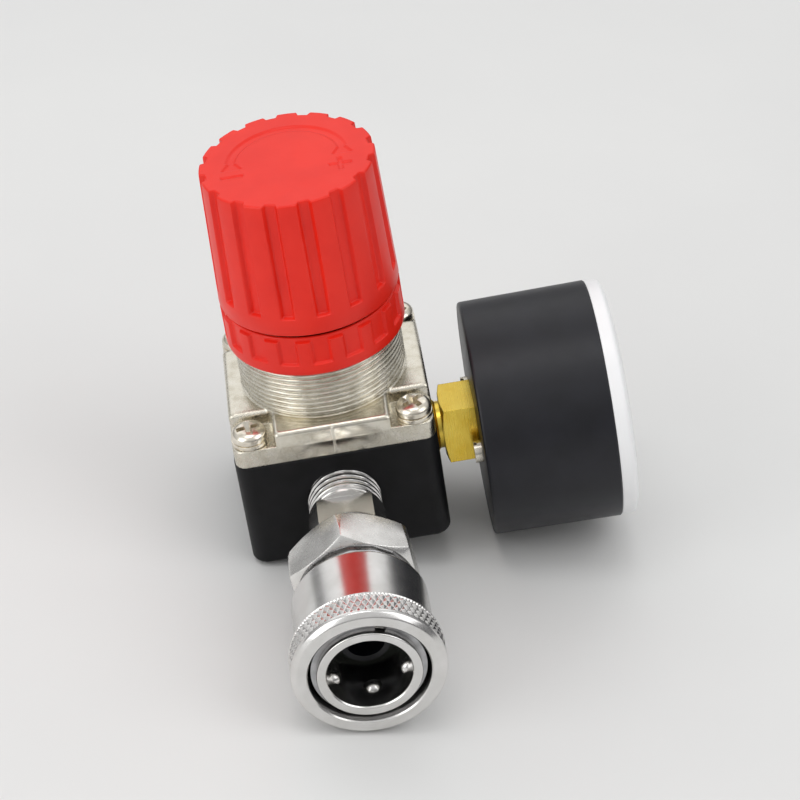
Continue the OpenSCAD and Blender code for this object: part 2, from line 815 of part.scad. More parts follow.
module movement_frame() {
    pivot = sector_dist * [cos(sector_at), sin(sector_at)];
    color(brass) at_gauge() difference() {
        union() {
            translate([0, 0, frame_x]) cylinder(r = frame_r, h = frame_t);
            translate([0, 0, frame_front_x]) cylinder(r = frame_r, h = frame_t);
            for (place = post_places)
                translate([place[0], place[1], frame_x]) cylinder(r = post_r, h = dial_x - frame_x);
        }
        for (place = [[0, 0], pivot])
            translate([place[0], place[1], frame_x - 1])
                cylinder(r = arbor_r + running_gap, h = dial_x - frame_x + 2);
        for (y = [-1, 1])
            translate([0, y * dial_screw_at, frame_front_x - 1])
                cylinder(r = dial_screw_r + running_gap, h = frame_t + 2);
    }
}

// Outline of a toothed wheel, teeth numbered from first to last, one tooth centred at angle 0
function tooth_outline(teeth, first, last) =
    let (r = gear_module * teeth / 2, step = 360 / teeth)
    [for (i = [first : last], point = [[-0.34, -1.15], [-0.12, 0.8], [0.12, 0.8], [0.34, -1.15]])
        let (turn = (i + point[0]) * step, out = r + point[1] * gear_module)
        [out * cos(turn), out * sin(turn)]];

module sector_gear() {
    pivot = sector_dist * [cos(sector_at), sin(sector_at)];
    swept = ceil(sector_sweep * sector_teeth / 360) + 1;
    color(brass) at_gauge() translate([pivot[0], pivot[1], 0]) rotate([0, 0, sector_at + 180]) {
        translate([0, 0, sector_x]) linear_extrude(sector_t) {
            polygon(concat([[0, 0]], tooth_outline(sector_teeth, -swept, 2)));
            circle(sector_hub_r);
            rotate(180 - sector_sweep / 2) translate([0, -tail_w / 2]) square([sector_tail, tail_w]);
        }
        translate([0, 0, frame_x]) cylinder(r = arbor_r, h = dial_x - frame_x - 0.1, $fn = 24);
    }
}

module movement_link() {
    pivot = sector_dist * [cos(sector_at), sin(sector_at)];
    tail_turn = sector_at - sector_sweep / 2;
    start = pivot + (sector_tail - 0.6) * [cos(tail_turn), sin(tail_turn)];
    tip = [tube_r * cos(tube_end), tube_r * sin(tube_end)];
    span = tip - start;
    color(steel) at_gauge() translate([start[0], start[1], sector_x + sector_t + touch])
        rotate([0, 0, atan2(span[1], span[0])]) translate([-link_w / 2, -link_w / 2, 0])
            cube([norm(span) + link_w, link_w, link_t]);
}

module pointer_arbor() {
    color(steel) at_gauge() {
        translate([0, 0, sector_x - 0.4]) rotate([0, 0, sector_at + 180 / pinion_teeth])
            linear_extrude(sector_t + 0.8) polygon(tooth_outline(pinion_teeth, 0, pinion_teeth - 1));
        translate([0, 0, frame_x]) cylinder(r = arbor_r, h = arbor_end - frame_x, $fn = 24);
    }
}

module pointer() {
    color(rubber) at_gauge() translate([0, 0, pointer_x]) difference() {
        rotate([0, 0, pointer_rest]) linear_extrude(pointer_t) {
            polygon([[-pointer_tail, -1.1], [0, -0.7], [pointer_len, -0.12], [pointer_len, 0.12], [0, 0.7],
                [-pointer_tail, 1.1]]);
            circle(pointer_hub_r);
        }
        translate([0, 0, -1]) cylinder(r = arbor_r + 0.01, h = pointer_t + 2, $fn = 24);
    }
}

module dial() {
    color(dial_white) at_gauge() difference() {
        translate([0, 0, dial_x]) cylinder(r = dial_r, h = dial_t);
        translate([0, 0, dial_x - 1]) cylinder(r = arbor_r + 0.6, h = dial_t + 2);
        for (y = [-1, 1])
            translate([0, y * dial_screw_at, dial_x - 1])
                cylinder(r = dial_screw_r + running_gap, h = dial_t + 2);
        rotate([0, 0, stop_turn]) translate([stop_at, 0, dial_x - 1])
            cylinder(r = stop_pin_r, h = dial_t + 2);
    }
}

module dial_screws() {
    color(steel) at_gauge() for (y = [-1, 1])
        translate([0, y * dial_screw_at, dial_x + dial_t]) {
            cylinder(r = 2 * dial_screw_r, h = dial_screw_head_h);
            translate([0, 0, -dial_t - frame_t])
                cylinder(r = dial_screw_r, h = dial_t + frame_t + 0.1, $fn = 24);
        }
}

module stop_pin() {
    color(steel) at_gauge() rotate([0, 0, stop_turn]) translate([stop_at, 0, dial_x])
        cylinder(r = stop_pin_r - 0.02, h = dial_t + 1.7, $fn = 24);
}

module gauge_window() {
    rim_r = case_r - 0.15;
    skirt_r = case_in_r - free_gap;
    color(clear) at_gauge() translate([0, 0, case_front]) rotate_extrude()
        polygon([[0, window_h], [rim_r - 4, window_h - 0.25], [rim_r - 1.2, window_band + 0.5],
            [rim_r, window_band], [rim_r, 0], [skirt_r, 0], [skirt_r, -window_skirt],
            [skirt_r - 0.9, -window_skirt], [skirt_r - 0.9, 0.4],
            [rim_r - 4.4, window_h - window_wall - 0.2], [0, window_h - window_wall]]);
}

// Coupler
module coupler_adapter() {
    color(chrome) at_coupler() difference() {
        union() {
            rotate_extrude()
                polygon(ridges(shank_s, neck_s + 0.1, shank_pitch, shank_r, shank_r - shank_thread_depth));
            intersection() {
                translate([0, 0, neck_s]) cylinder(r = coupler_neck_r, h = flat_end_s - neck_s + 0.1);
                translate([0, 0, neck_s + flat_len / 2])
                    cube([4 * coupler_neck_r, 2 * flat_h, 2 * flat_len], center = true);
            }
            translate([0, 0, flat_end_s])
                cylinder(r1 = flare_start_r, r2 = flare_r, h = hex_s - flat_end_s + 0.1);
            intersection() {
                translate([0, 0, hex_s]) rotate([0, 0, hex_turn]) cylinder(r = hex_r, h = hex_len, $fn = 6);
                hex_chamfer();
            }
        }
        translate([0, 0, shank_s - 1]) cylinder(r = adapter_bore_r, h = valve_room_s - shank_s + 2);
        translate([0, 0, valve_room_s]) cylinder(r = valve_room_r, h = hex_end);
        translate([0, 0, nose_s]) cylinder(r = nose_r + running_gap, h = hex_end);
    }
}

// Turned shape that takes the corners off both ends of the hexagon
module hex_chamfer() {
    low = hex_af / 2 - 0.1;
    rotate_extrude() polygon([[0, hex_s], [low, hex_s], [hex_r - hex_ease, hex_s + hex_chamfer_h],
        [hex_r + hex_ease / 3, hex_end - hex_chamfer_h], [low, hex_end], [0, hex_end]]);
}

module coupler_nose() {
    color(chrome) at_coupler() difference() {
        translate([0, 0, nose_s]) cylinder(r = nose_r, h = coupler_end - nose_s);
        translate([0, 0, nose_s - 1]) cylinder(r = valve_room_r, h = lip_s - nose_s + 1);
        translate([0, 0, lip_s - 1]) cylinder(r = seal_r, h = lip_h + 2);
        translate([0, 0, seal_s]) cylinder(r = mouth_r, h = coupler_end);
        translate([0, 0, entry_s]) cylinder(r = entry_r, h = coupler_end);
        translate([0, 0, seal_s]) cylinder(r = seal_groove_r, h = seal_h);
        translate([0, 0, snap_s]) washer(nose_r + 1, snap_in, snap_h + 2 * running_gap);
        for (i = [0 : ball_count - 1])
            translate([0, 0, ball_s]) rotate([0, 0, 360 * i / ball_count - 90]) rotate([0, 90, 0])
                cylinder(r = ball_r + running_gap, h = nose_r + 2);
    }
}

module plug_seal() {
    color(rubber) at_coupler() translate([0, 0, seal_s + touch])
        washer(seal_groove_r - touch, seal_r + 0.4, seal_h - 2 * touch);
}

module check_valve() {
    head_s = lip_s - check_seal_h - touch;
    color(case_black) at_coupler() difference() {
        union() {
            translate([0, 0, head_s - check_head_h]) cylinder(r = check_head_r, h = check_head_h);
            translate([0, 0, head_s - check_head_h - check_guide_h])
                cylinder(r = check_guide_r, h = check_guide_h + 1);
            translate([0, 0, head_s - 0.1])
                cylinder(r = check_tip_r, h = check_seal_h + lip_h + seal_h + check_tip_h);
        }
        translate([0, 0, seal_s + check_wall])
            cylinder(r = check_tip_r - check_wall, h = coupler_end - seal_s);
        for (turn = [0, 60, 120])
            translate([0, 0, lip_s + 1]) rotate([0, 0, turn]) rotate([90, 0, 0])
                cylinder(r = check_hole_r, h = 3 * check_tip_r, center = true);
    }
}

module check_valve_seal() {
    color(rubber) at_coupler() translate([0, 0, lip_s - check_seal_h])
        washer(check_head_r, check_tip_r + running_gap, check_seal_h - touch);
}

module check_spring() {
    color(steel) at_coupler() coil("check spring", check_coil_r, check_wire, valve_room_s + touch,
        lip_s - check_seal_h - check_head_h - 2 * touch, check_turns);
}

module snap_ring() {
    color(steel) at_coupler() translate([0, 0, snap_s + running_gap]) difference() {
        washer(snap_r, snap_in + running_gap, snap_h);
        rotate([0, 0, 70]) translate([0, -1, -1]) cube([snap_r + 1, 2, snap_h + 2]);
    }
}

module sleeve() {
    color(chrome) at_coupler() rotate_extrude()
        polygon([[sleeve_bore_r, sleeve_s], [sleeve_r - 0.5, sleeve_s], [sleeve_r, sleeve_s + 0.6],
            [sleeve_r, knurl_s], [knurl_r, knurl_s + 0.5], [knurl_r, knurl_end],
            [sleeve_face_r, coupler_end], [mouth_open_r, coupler_end], [mouth_open_r, ramp_stop],
            [land_r, ramp_start], [land_r, shoulder_s], [sleeve_bore_r, shoulder_s]]);
}

module sleeve_spring() {
    color(steel) at_coupler() coil("sleeve spring", sleeve_coil_r, sleeve_wire, hex_end + touch,
        shoulder_s - touch, sleeve_turns);
}

module locking_ball(i) {
    turn = 360 * (i - 1) / ball_count - 90;
    color(steel) at_coupler() translate([ball_in * cos(turn), ball_in * sin(turn), ball_s]) sphere(ball_r);
}

body();
bottom_plug();
plug_o_ring();
valve_seat();
valve_spring();
valve_poppet();
valve_disc();
diaphragm();
diaphragm_rivet();
diaphragm_plate();
bonnet();
bonnet_screws();
lock_washers();
main_spring();
spring_seat();
adjusting_screw();
thrust_washer();
panel_nut();
knob();
gauge_socket();
gauge_case();
case_screws();
bourdon_tube();
movement_frame();
movement_link();
sector_gear();
pointer_arbor();
pointer();
dial();
dial_screws();
stop_pin();
gauge_window();
coupler_adapter();
coupler_nose();
plug_seal();
check_valve();
check_valve_seal();
check_spring();
snap_ring();
sleeve();
sleeve_spring();
locking_ball(1);  // locking_ball_1
locking_ball(2);  // locking_ball_2
locking_ball(3);  // locking_ball_3
locking_ball(4);  // locking_ball_4
locking_ball(5);  // locking_ball_5
locking_ball(6);  // locking_ball_6
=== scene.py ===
"""Looks of a small air pressure regulator: red knob and panel nut, cast bonnet, gauge and quick coupler."""

import json
import math

import bpy
from mathutils import Matrix, Vector


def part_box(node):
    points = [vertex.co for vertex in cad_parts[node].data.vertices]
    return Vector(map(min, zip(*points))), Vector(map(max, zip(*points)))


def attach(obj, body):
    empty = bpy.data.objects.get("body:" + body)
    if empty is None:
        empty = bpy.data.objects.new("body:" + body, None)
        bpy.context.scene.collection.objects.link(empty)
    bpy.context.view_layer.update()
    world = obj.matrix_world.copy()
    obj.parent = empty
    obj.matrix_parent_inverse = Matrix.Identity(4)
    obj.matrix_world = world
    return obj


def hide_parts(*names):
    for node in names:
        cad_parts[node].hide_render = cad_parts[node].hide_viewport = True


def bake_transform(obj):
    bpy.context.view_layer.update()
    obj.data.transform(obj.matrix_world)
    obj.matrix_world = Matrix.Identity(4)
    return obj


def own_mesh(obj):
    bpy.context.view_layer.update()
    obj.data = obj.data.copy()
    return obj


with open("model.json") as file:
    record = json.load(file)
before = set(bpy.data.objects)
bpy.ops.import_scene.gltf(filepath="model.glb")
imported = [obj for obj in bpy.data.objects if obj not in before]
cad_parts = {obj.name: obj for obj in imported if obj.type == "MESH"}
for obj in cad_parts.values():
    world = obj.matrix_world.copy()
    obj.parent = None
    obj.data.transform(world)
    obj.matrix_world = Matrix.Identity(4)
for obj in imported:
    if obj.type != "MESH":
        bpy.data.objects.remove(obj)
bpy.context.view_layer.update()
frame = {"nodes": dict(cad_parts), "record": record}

MM = 0.001
TAU = 2 * math.pi
ROOT = "regulator"
RUNNING_GAP = 0.06
FREE_GAP = 0.15


def span(node):
    """Lowest and highest corner of a CAD node, in millimetres."""
    low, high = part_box(node)
    return low / MM, high / MM


# Sizes taken from the frame, in millimetres
BODY_LOW, BODY_HIGH = span("body")
BONNET_LOW, BONNET_HIGH = span("bonnet")
KNOB_LOW, KNOB_HIGH = span("knob")
NUT_LOW, NUT_HIGH = span("panel_nut")
CASE_LOW, CASE_HIGH = span("gauge_case")
WINDOW_HIGH = span("gauge_window")[1]
DIAL_HIGH = span("dial")[1]
SLEEVE_LOW, SLEEVE_HIGH = span("sleeve")
ADAPTER_LOW, ADAPTER_HIGH = span("coupler_adapter")
NOSE_LOW, NOSE_HIGH = span("coupler_nose")
SCREWS_LOW, SCREWS_HIGH = span("bonnet_screws")
WASHERS_LOW, WASHERS_HIGH = span("lock_washers")
BALL_LOW, BALL_HIGH = span("locking_ball_1")
DIAPHRAGM_LOW, DIAPHRAGM_HIGH = span("diaphragm")
DISC_LOW, DISC_HIGH = span("diaphragm_plate")
SEAT_LOW, SEAT_HIGH = span("valve_seat")
PLUG_LOW, PLUG_HIGH = span("bottom_plug")

# Local frames: the gauge's axis runs out along +X, the coupler's along -Y
GAUGE_ROLL = math.radians(-8)
GAUGE_Z = (CASE_LOW.z + CASE_HIGH.z) / 2
COUPLER_Z = (SLEEVE_LOW.z + SLEEVE_HIGH.z) / 2
UPRIGHT = Matrix.Identity(4)
AT_GAUGE = (Matrix.Translation((0, 0, GAUGE_Z)) @ Matrix.Rotation(GAUGE_ROLL, 4, "X")
            @ Matrix.Rotation(math.radians(90), 4, "Y"))
AT_COUPLER = Matrix.Translation((0, 0, COUPLER_Z)) @ Matrix.Rotation(math.radians(90), 4, "X")


# Shell helpers: a shell is a list of points in millimetres and a list of faces

def smoothstep(low, high, value):
    share = min(1.0, max(0.0, (value - low) / (high - low)))
    return share * share * (3 - 2 * share)


def wrapped(angle, step):
    """Signed angle to the nearest multiple of step."""
    return (angle + step / 2) % step - step / 2


def rounded_profile(corners, steps=4):
    """Outline through (r, z, fillet) corners, each fillet an arc of a few points."""
    points = []
    count = len(corners)
    for i, (r, z, fillet) in enumerate(corners):
        here = Vector((r, z))
        if fillet <= 0 or i in (0, count - 1):
            points.append((r, z))
            continue
        before = Vector(corners[i - 1][:2]) - here
        after = Vector(corners[i + 1][:2]) - here
        reach = min(fillet, before.length * 0.48, after.length * 0.48)
        start = here + before.normalized() * reach
        stop = here + after.normalized() * reach
        for k in range(steps + 1):
            t = k / steps
            point = start * (1 - t) ** 2 + here * 2 * t * (1 - t) + stop * t ** 2
            points.append((point.x, point.y))
    return points


def revolve(profile, steps, change=None, ring=False):
    """Closed shell turned round the local Z axis. change(r, z, angle) may move each point."""
    points, faces, rows = [], [], []
    for r, z in profile:
        row = []
        for k in range(1 if r < 1e-6 else steps):
            angle = TAU * k / steps
            out, up = change(r, z, angle) if change and r > 1e-6 else (r, z)
            row.append(len(points))
            points.append((out * math.cos(angle), out * math.sin(angle), up))
        rows.append(row)
    pairs = list(zip(rows, rows[1:]))
    if ring:
        pairs.append((rows[-1], rows[0]))
    for low, high in pairs:
        for k in range(steps):
            n = (k + 1) % steps
            loop = (low[k % len(low)], low[n % len(low)], high[n % len(high)], high[k % len(high)])
            face = tuple(dict.fromkeys(loop))
            if len(face) > 2:
                faces.append(face)
    return points, faces


def loft(outline, rows):
    """Closed shell through outline(inset) at each (inset, z) row, capped flat at both ends."""
    points, faces = [], []
    for inset, z in rows:
        points += [(x, y, z) for x, y in outline(inset)]
    count = len(points) // len(rows)
    for i in range(len(rows) - 1):
        for k in range(count):
            n = (k + 1) % count
            a = i * count
            faces.append((a + k, a + n, a + count + n, a + count + k))
    faces.append(tuple(range(count - 1, -1, -1)))
    last = (len(rows) - 1) * count
    faces.append(tuple(range(last, last + count)))
    return points, faces


def edge_rows(z0, z1, low_fillet, high_fillet, steps=5):
    """Rows of a loft whose bottom and top edges are rounded."""
    rows = []
    for k in range(steps + 1):
        turn = math.pi / 2 * k / steps
        rows.append((low_fillet * (1 - math.sin(turn)), z0 + low_fillet * (1 - math.cos(turn))))
    for k in range(steps + 1):
        turn = math.pi / 2 * k / steps
        rows.append((high_fillet * (1 - math.cos(turn)), z1 - high_fillet * (1 - math.sin(turn))))
    return rows


def box_shell(low, high):
    x, y, z = zip(low, high)
    points = [(x[i], y[j], z[k]) for k in (0, 1) for j in (0, 1) for i in (0, 1)]
    faces = [(0, 2, 3, 1), (4, 5, 7, 6), (0, 1, 5, 4), (2, 6, 7, 3), (0, 4, 6, 2), (1, 3, 7, 5)]
    return points, faces


def rod(r, z0, z1, steps=64, chamfer=0.0):
    """Plain turned bar with an optional chamfer at both ends."""
    c = max(chamfer, 1e-4)
    return revolve([(0, z0), (r - c, z0), (r, z0 + c), (r, z1 - c), (r - c, z1), (0, z1)], steps)


def moved(shell, matrix):
    points, faces = shell
    return [tuple(matrix @ Vector(p)) for p in points], faces


def shell_object(shell, name="scratch"):
    mesh = bpy.data.meshes.new(name)
    mesh.from_pydata(shell[0], [], shell[1])
    mesh.validate()
    obj = bpy.data.objects.new(name, mesh)
    bpy.context.scene.collection.objects.link(obj)
    return obj


def read_back(obj):
    """Shell of an object with its modifiers applied; the object is removed."""
    bpy.context.view_layer.update()
    graph = bpy.context.evaluated_depsgraph_get()
    mesh = bpy.data.meshes.new_from_object(obj.evaluated_get(graph))
    shell = [tuple(v.co) for v in mesh.vertices], [tuple(p.vertices) for p in mesh.polygons]
    bpy.data.objects.remove(obj)
    bpy.data.meshes.remove(mesh)
    return shell


def joined(first, second, operation):
    """Exact boolean of two shells: UNION, DIFFERENCE or INTERSECT."""
    target, tool = shell_object(first), shell_object(second)
    modifier = target.modifiers.new("join", "BOOLEAN")
    modifier.operation = operation
    modifier.solver = "EXACT"
    modifier.object = tool
    shell = read_back(target)
    bpy.data.objects.remove(tool)
    return shell


def bevelled(shell, width, segments=3, angle=30):
    obj = shell_object(shell)
    modifier = obj.modifiers.new("bevel", "BEVEL")
    modifier.width = width
    modifier.segments = segments
    modifier.limit_method = "ANGLE"
    modifier.angle_limit = math.radians(angle)
    modifier.harden_normals = False
    return read_back(obj)


def piece(name, shells, material, body=ROOT, node=None, place=UPRIGHT, sharp=32):
    """One named object made of shells, riding on a CAD body."""
    points, faces = [], []
    for shell in shells:
        shift = len(points)
        points += [place @ Vector(p) * MM for p in shell[0]]
        faces += [tuple(i + shift for i in face) for face in shell[1]]
    mesh = bpy.data.meshes.new(name)
    mesh.from_pydata(points, [], faces)
    mesh.validate()
    mesh.polygons.foreach_set("use_smooth", [True] * len(mesh.polygons))
    mesh.set_sharp_from_angle(angle=math.radians(sharp))
    mesh.materials.append(material)
    obj = bpy.data.objects.new(name, mesh)
    bpy.context.scene.collection.objects.link(obj)
    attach(obj, body)
    if node:
        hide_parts(node)
    return obj


# Materials

def new_material(name):
    material = bpy.data.materials.new(name)
    material.use_nodes = True
    nodes = material.node_tree.nodes
    return material, nodes, material.node_tree.links, nodes["Principled BSDF"]


def object_coordinates(nodes):
    return nodes.new("ShaderNodeTexCoord").outputs["Object"]


def noise_node(nodes, links, scale, detail=3.0, roughness=0.5):
    """Noise with features of about 1 / scale millimetres."""
    node = nodes.new("ShaderNodeTexNoise")
    node.inputs["Scale"].default_value = scale / MM
    node.inputs["Detail"].default_value = detail
    node.inputs["Roughness"].default_value = roughness
    links.new(object_coordinates(nodes), node.inputs["Vector"])
    return node.outputs["Fac"]


def ramp_node(nodes, links, value, stops):
    node = nodes.new("ShaderNodeValToRGB")
    elements = node.color_ramp.elements
    while len(elements) < len(stops):
        elements.new(0.5)
    for element, (position, color) in zip(elements, stops):
        element.position = position
        element.color = (*color, 1.0)
    links.new(value, node.inputs["Fac"])
    return node.outputs["Color"]


def range_node(nodes, links, value, low, high):
    node = nodes.new("ShaderNodeMapRange")
    node.inputs["To Min"].default_value = low
    node.inputs["To Max"].default_value = high
    links.new(value, node.inputs["Value"])
    return node.outputs["Result"]


def product_node(nodes, links, first, second):
    node = nodes.new("ShaderNodeMath")
    node.operation = "MULTIPLY"
    links.new(first, node.inputs[0])
    links.new(second, node.inputs[1])
    return node.outputs["Value"]


def bump_node(nodes, links, height, depth, strength=0.5, normal=None):
    """Bump of a real depth in millimetres."""
    node = nodes.new("ShaderNodeBump")
    node.inputs["Strength"].default_value = strength
    node.inputs["Distance"].default_value = depth * MM
    links.new(height, node.inputs["Height"])
    if normal is not None:
        links.new(normal, node.inputs["Normal"])
    return node.outputs["Normal"]


def soft_edges(nodes, radius):
    """Rounded shading over sharp edges, radius in millimetres."""
    node = nodes.new("ShaderNodeBevel")
    node.samples = 4
    node.inputs["Radius"].default_value = radius * MM
    return node.outputs["Normal"]


def finish_material(name, dark, light, rough, metallic=0.0, patch=0.4, grain=6.0, grain_depth=0.01,
                    edge=0.0, shine=0.5, grain_strength=0.5):
    """Base finish: two close colours in soft patches, uneven gloss and a fine surface grain."""
    material, nodes, links, shader = new_material(name)
    shader.inputs["Metallic"].default_value = metallic
    shader.inputs["Specular IOR Level"].default_value = shine
    patches = noise_node(nodes, links, patch, 4.0)
    links.new(ramp_node(nodes, links, patches, [(0.35, dark), (0.65, light)]), shader.inputs["Base Color"])
    smudge = noise_node(nodes, links, patch * 2.3, 5.0, 0.6)
    links.new(range_node(nodes, links, smudge, *rough), shader.inputs["Roughness"])
    grains = noise_node(nodes, links, grain, 2.0)
    normal = soft_edges(nodes, edge) if edge else None
    links.new(bump_node(nodes, links, grains, grain_depth, grain_strength, normal), shader.inputs["Normal"])
    return material


def turned_material(name, dark, light, rough, axis, lines=5.0, line_depth=0.004, edge=0.0):
    """Turned metal: fine lines across the turning axis, over soft patches of tone."""
    material, nodes, links, shader = new_material(name)
    shader.inputs["Metallic"].default_value = 1.0
    patches = noise_node(nodes, links, 0.25, 4.0)
    links.new(ramp_node(nodes, links, patches, [(0.3, dark), (0.7, light)]), shader.inputs["Base Color"])
    stretch = nodes.new("ShaderNodeMapping")
    stretch.inputs["Scale"].default_value = [lines / MM if i == axis else 0.08 / MM for i in range(3)]
    links.new(object_coordinates(nodes), stretch.inputs["Vector"])
    fine = nodes.new("ShaderNodeTexNoise")
    fine.inputs["Scale"].default_value = 1.0
    fine.inputs["Detail"].default_value = 3.0
    links.new(stretch.outputs["Vector"], fine.inputs["Vector"])
    links.new(range_node(nodes, links, fine.outputs["Fac"], *rough), shader.inputs["Roughness"])
    normal = soft_edges(nodes, edge) if edge else None
    links.new(bump_node(nodes, links, fine.outputs["Fac"], line_depth, 0.4, normal), shader.inputs["Normal"])
    return material


def cast_nickel():
    """Warm nickel plate over a die casting: satin on its flat tops, pebbled towards the ends of its sides."""
    material, nodes, links, shader = new_material("cast_nickel")
    shader.inputs["Metallic"].default_value = 1.0
    patches = noise_node(nodes, links, 0.5, 5.0, 0.6)
    stops = [(0.28, (0.55, 0.51, 0.42)), (0.48, (0.67, 0.635, 0.545)), (0.75, (0.745, 0.715, 0.64))]
    links.new(ramp_node(nodes, links, patches, stops), shader.inputs["Base Color"])
    tilt = nodes.new("ShaderNodeSeparateXYZ")
    links.new(nodes.new("ShaderNodeNewGeometry").outputs["Normal"], tilt.inputs["Vector"])
    flat = nodes.new("ShaderNodeMath")
    flat.operation = "ABSOLUTE"
    links.new(tilt.outputs["Z"], flat.inputs[0])
    place = nodes.new("ShaderNodeSeparateXYZ")
    links.new(object_coordinates(nodes), place.inputs["Vector"])
    sideways = nodes.new("ShaderNodeMath")
    sideways.operation = "ABSOLUTE"
    links.new(place.outputs["X"], sideways.inputs[0])
    ends = range_node(nodes, links, sideways.outputs[0], 0.25, 1.0)
    ends.node.inputs["From Min"].default_value = 5.0 * MM
    ends.node.inputs["From Max"].default_value = 12.0 * MM
    gloss = range_node(nodes, links, noise_node(nodes, links, 1.2, 4.0), 0.18, 0.36)
    satin = range_node(nodes, links, ends, 0.45, 1.0)
    links.new(product_node(nodes, links, gloss, satin), shader.inputs["Roughness"])
    sides = range_node(nodes, links, flat.outputs[0], 1.0, 0.25)
    pebbles = product_node(nodes, links, noise_node(nodes, links, 1.3, 3.0, 0.6), sides)
    height = product_node(nodes, links, pebbles, ends)
    coarse = bump_node(nodes, links, height, 0.10, 0.5, soft_edges(nodes, 0.4))
    fine = noise_node(nodes, links, 6.0)
    links.new(bump_node(nodes, links, fine, 0.015, 0.4, coarse), shader.inputs["Normal"])
    return material


def clear_plastic(name, rough, clear, cover, bend):
    """Moulded plastic: clear is the share that isn't milky, cover how much it hides, bend its index."""
    material, nodes, links, shader = new_material(name)
    shader.inputs["Transmission Weight"].default_value = clear
    shader.inputs["IOR"].default_value = bend
    shader.inputs["Coat Weight"].default_value = clear
    shader.inputs["Alpha"].default_value = cover
    haze = noise_node(nodes, links, 0.2, 4.0)
    links.new(ramp_node(nodes, links, haze, [(0.3, (0.96, 0.965, 0.975)), (0.7, (0.985, 0.985, 0.99))]),
              shader.inputs["Base Color"])
    links.new(range_node(nodes, links, haze, *rough), shader.inputs["Roughness"])
    links.new(bump_node(nodes, links, noise_node(nodes, links, 0.15), 0.01, 0.2), shader.inputs["Normal"])
    return material


RED = finish_material("red_plastic", (0.79, 0.014, 0.004), (0.85, 0.020, 0.007), (0.32, 0.46),
                      patch=0.12, grain=4.0, grain_depth=0.012, grain_strength=0.35, shine=0.4)
NICKEL = cast_nickel()
BLACK_PAINT = finish_material("black_paint", (0.003, 0.003, 0.0035), (0.006, 0.006, 0.007), (0.40, 0.54),
                              patch=0.2, grain=2.2, grain_depth=0.02, shine=0.22)
BLACK_PLASTIC = finish_material("black_plastic", (0.004, 0.0042, 0.0075), (0.007, 0.0074, 0.012),
                                (0.36, 0.48), patch=0.15, grain=5.0, grain_depth=0.014, shine=0.42)
CHROME = turned_material("bright_plate", (0.66, 0.65, 0.63), (0.77, 0.76, 0.75), (0.14, 0.28), 1, edge=0.12)
CHROME_PLAIN = finish_material("bright_plate_flat", (0.68, 0.67, 0.65), (0.80, 0.79, 0.77), (0.20, 0.34),
                               metallic=1.0, patch=0.3, grain=5.0, grain_depth=0.006, edge=0.15)
STEEL = finish_material("bright_steel", (0.68, 0.63, 0.53), (0.86, 0.81, 0.71), (0.16, 0.32), metallic=1.0,
                        patch=0.6, grain=6.0, grain_depth=0.01, edge=0.1)
SPRING_STEEL = finish_material("spring_steel", (0.38, 0.38, 0.39), (0.52, 0.52, 0.53), (0.25, 0.45),
                               metallic=1.0, patch=0.5, grain=8.0)
BRASS = turned_material("brass", (0.84, 0.58, 0.075), (0.93, 0.70, 0.13), (0.20, 0.36), 0, lines=4.0,
                        edge=0.2)
RUBBER = finish_material("rubber", (0.006, 0.009, 0.005), (0.012, 0.017, 0.010), (0.5, 0.7), grain=3.0)
DIAL_WHITE = finish_material("dial_white", (0.84, 0.84, 0.82), (0.90, 0.90, 0.88), (0.45, 0.6), patch=0.1)
PRINT_BLACK = finish_material("print_black", (0.010, 0.010, 0.011), (0.020, 0.020, 0.021), (0.5, 0.65))
CLEAR = clear_plastic("clear_plastic", (0.02, 0.07), 1.0, 0.4, 1.05)
FROSTED = clear_plastic("frosted_plastic", (0.35, 0.5), 0.08, 1.0, 1.49)

SLOT_MATERIALS = {
    "black_paint": BLACK_PAINT, "black_plastic": BLACK_PLASTIC, "red_plastic": RED, "nickel_plate": NICKEL,
    "chrome": CHROME, "bright_steel": STEEL, "spring_steel": SPRING_STEEL, "brass": BRASS, "rubber": RUBBER,
    "dial_white": DIAL_WHITE, "clear_plastic": CLEAR,
}
for part in frame["record"]["subparts"]:
    node_object = frame["nodes"][part["node"]]
    node_object.data.materials.clear()
    node_object.data.materials.append(SLOT_MATERIALS[part["material_slot"]])

# Knob, hollow over the bonnet's dome
DOME_R = 13.2
FLUTES = 16
FLUTE_AT = math.radians(-83)
FLUTE_W = 2.2
FLUTE_DEPTH = 0.9
FLUTE_START = 3.3
FLUTE_SOFT = 0.22
KNOB_R = (KNOB_HIGH.x - KNOB_LOW.x) / 2
KNOB_TOP_R = KNOB_R - 0.8
KNOB_BORE = DOME_R + 0.3
KNOB_CEILING = KNOB_HIGH.z - 2.5
RIM_REACH = 2.0
MARK_DEPTH = 0.28
MARK_SOFT = 0.14
ARROW_R = 9.8
ARROW_HALF = 0.75
ARROW_END = math.radians(8)
TIP_R = 9.6
TIP_Y = -0.9
TIP_HALF = 1.75
TIP_SLOPE = 0.55
MINUS_AT = (-9.6, -3.1)
MINUS_HALF = 1.9
PLUS_AT = (9.0, -4.2)
PLUS_HALF = 1.95
STROKE_HALF = 0.35


def flute_depth(angle, r, z):
    across = abs(wrapped(angle - FLUTE_AT, TAU / FLUTES)) * r
    side = 1 - smoothstep(FLUTE_W / 2 - FLUTE_SOFT, FLUTE_W / 2 + FLUTE_SOFT, across)
    start = KNOB_LOW.z + FLUTE_START
    return FLUTE_DEPTH * side * smoothstep(start, start + 0.45, z)


def inside_box(x, y, half_x, half_y):
    """Distance into a rectangle, negative outside."""
    return min(half_x - abs(x), half_y - abs(y))


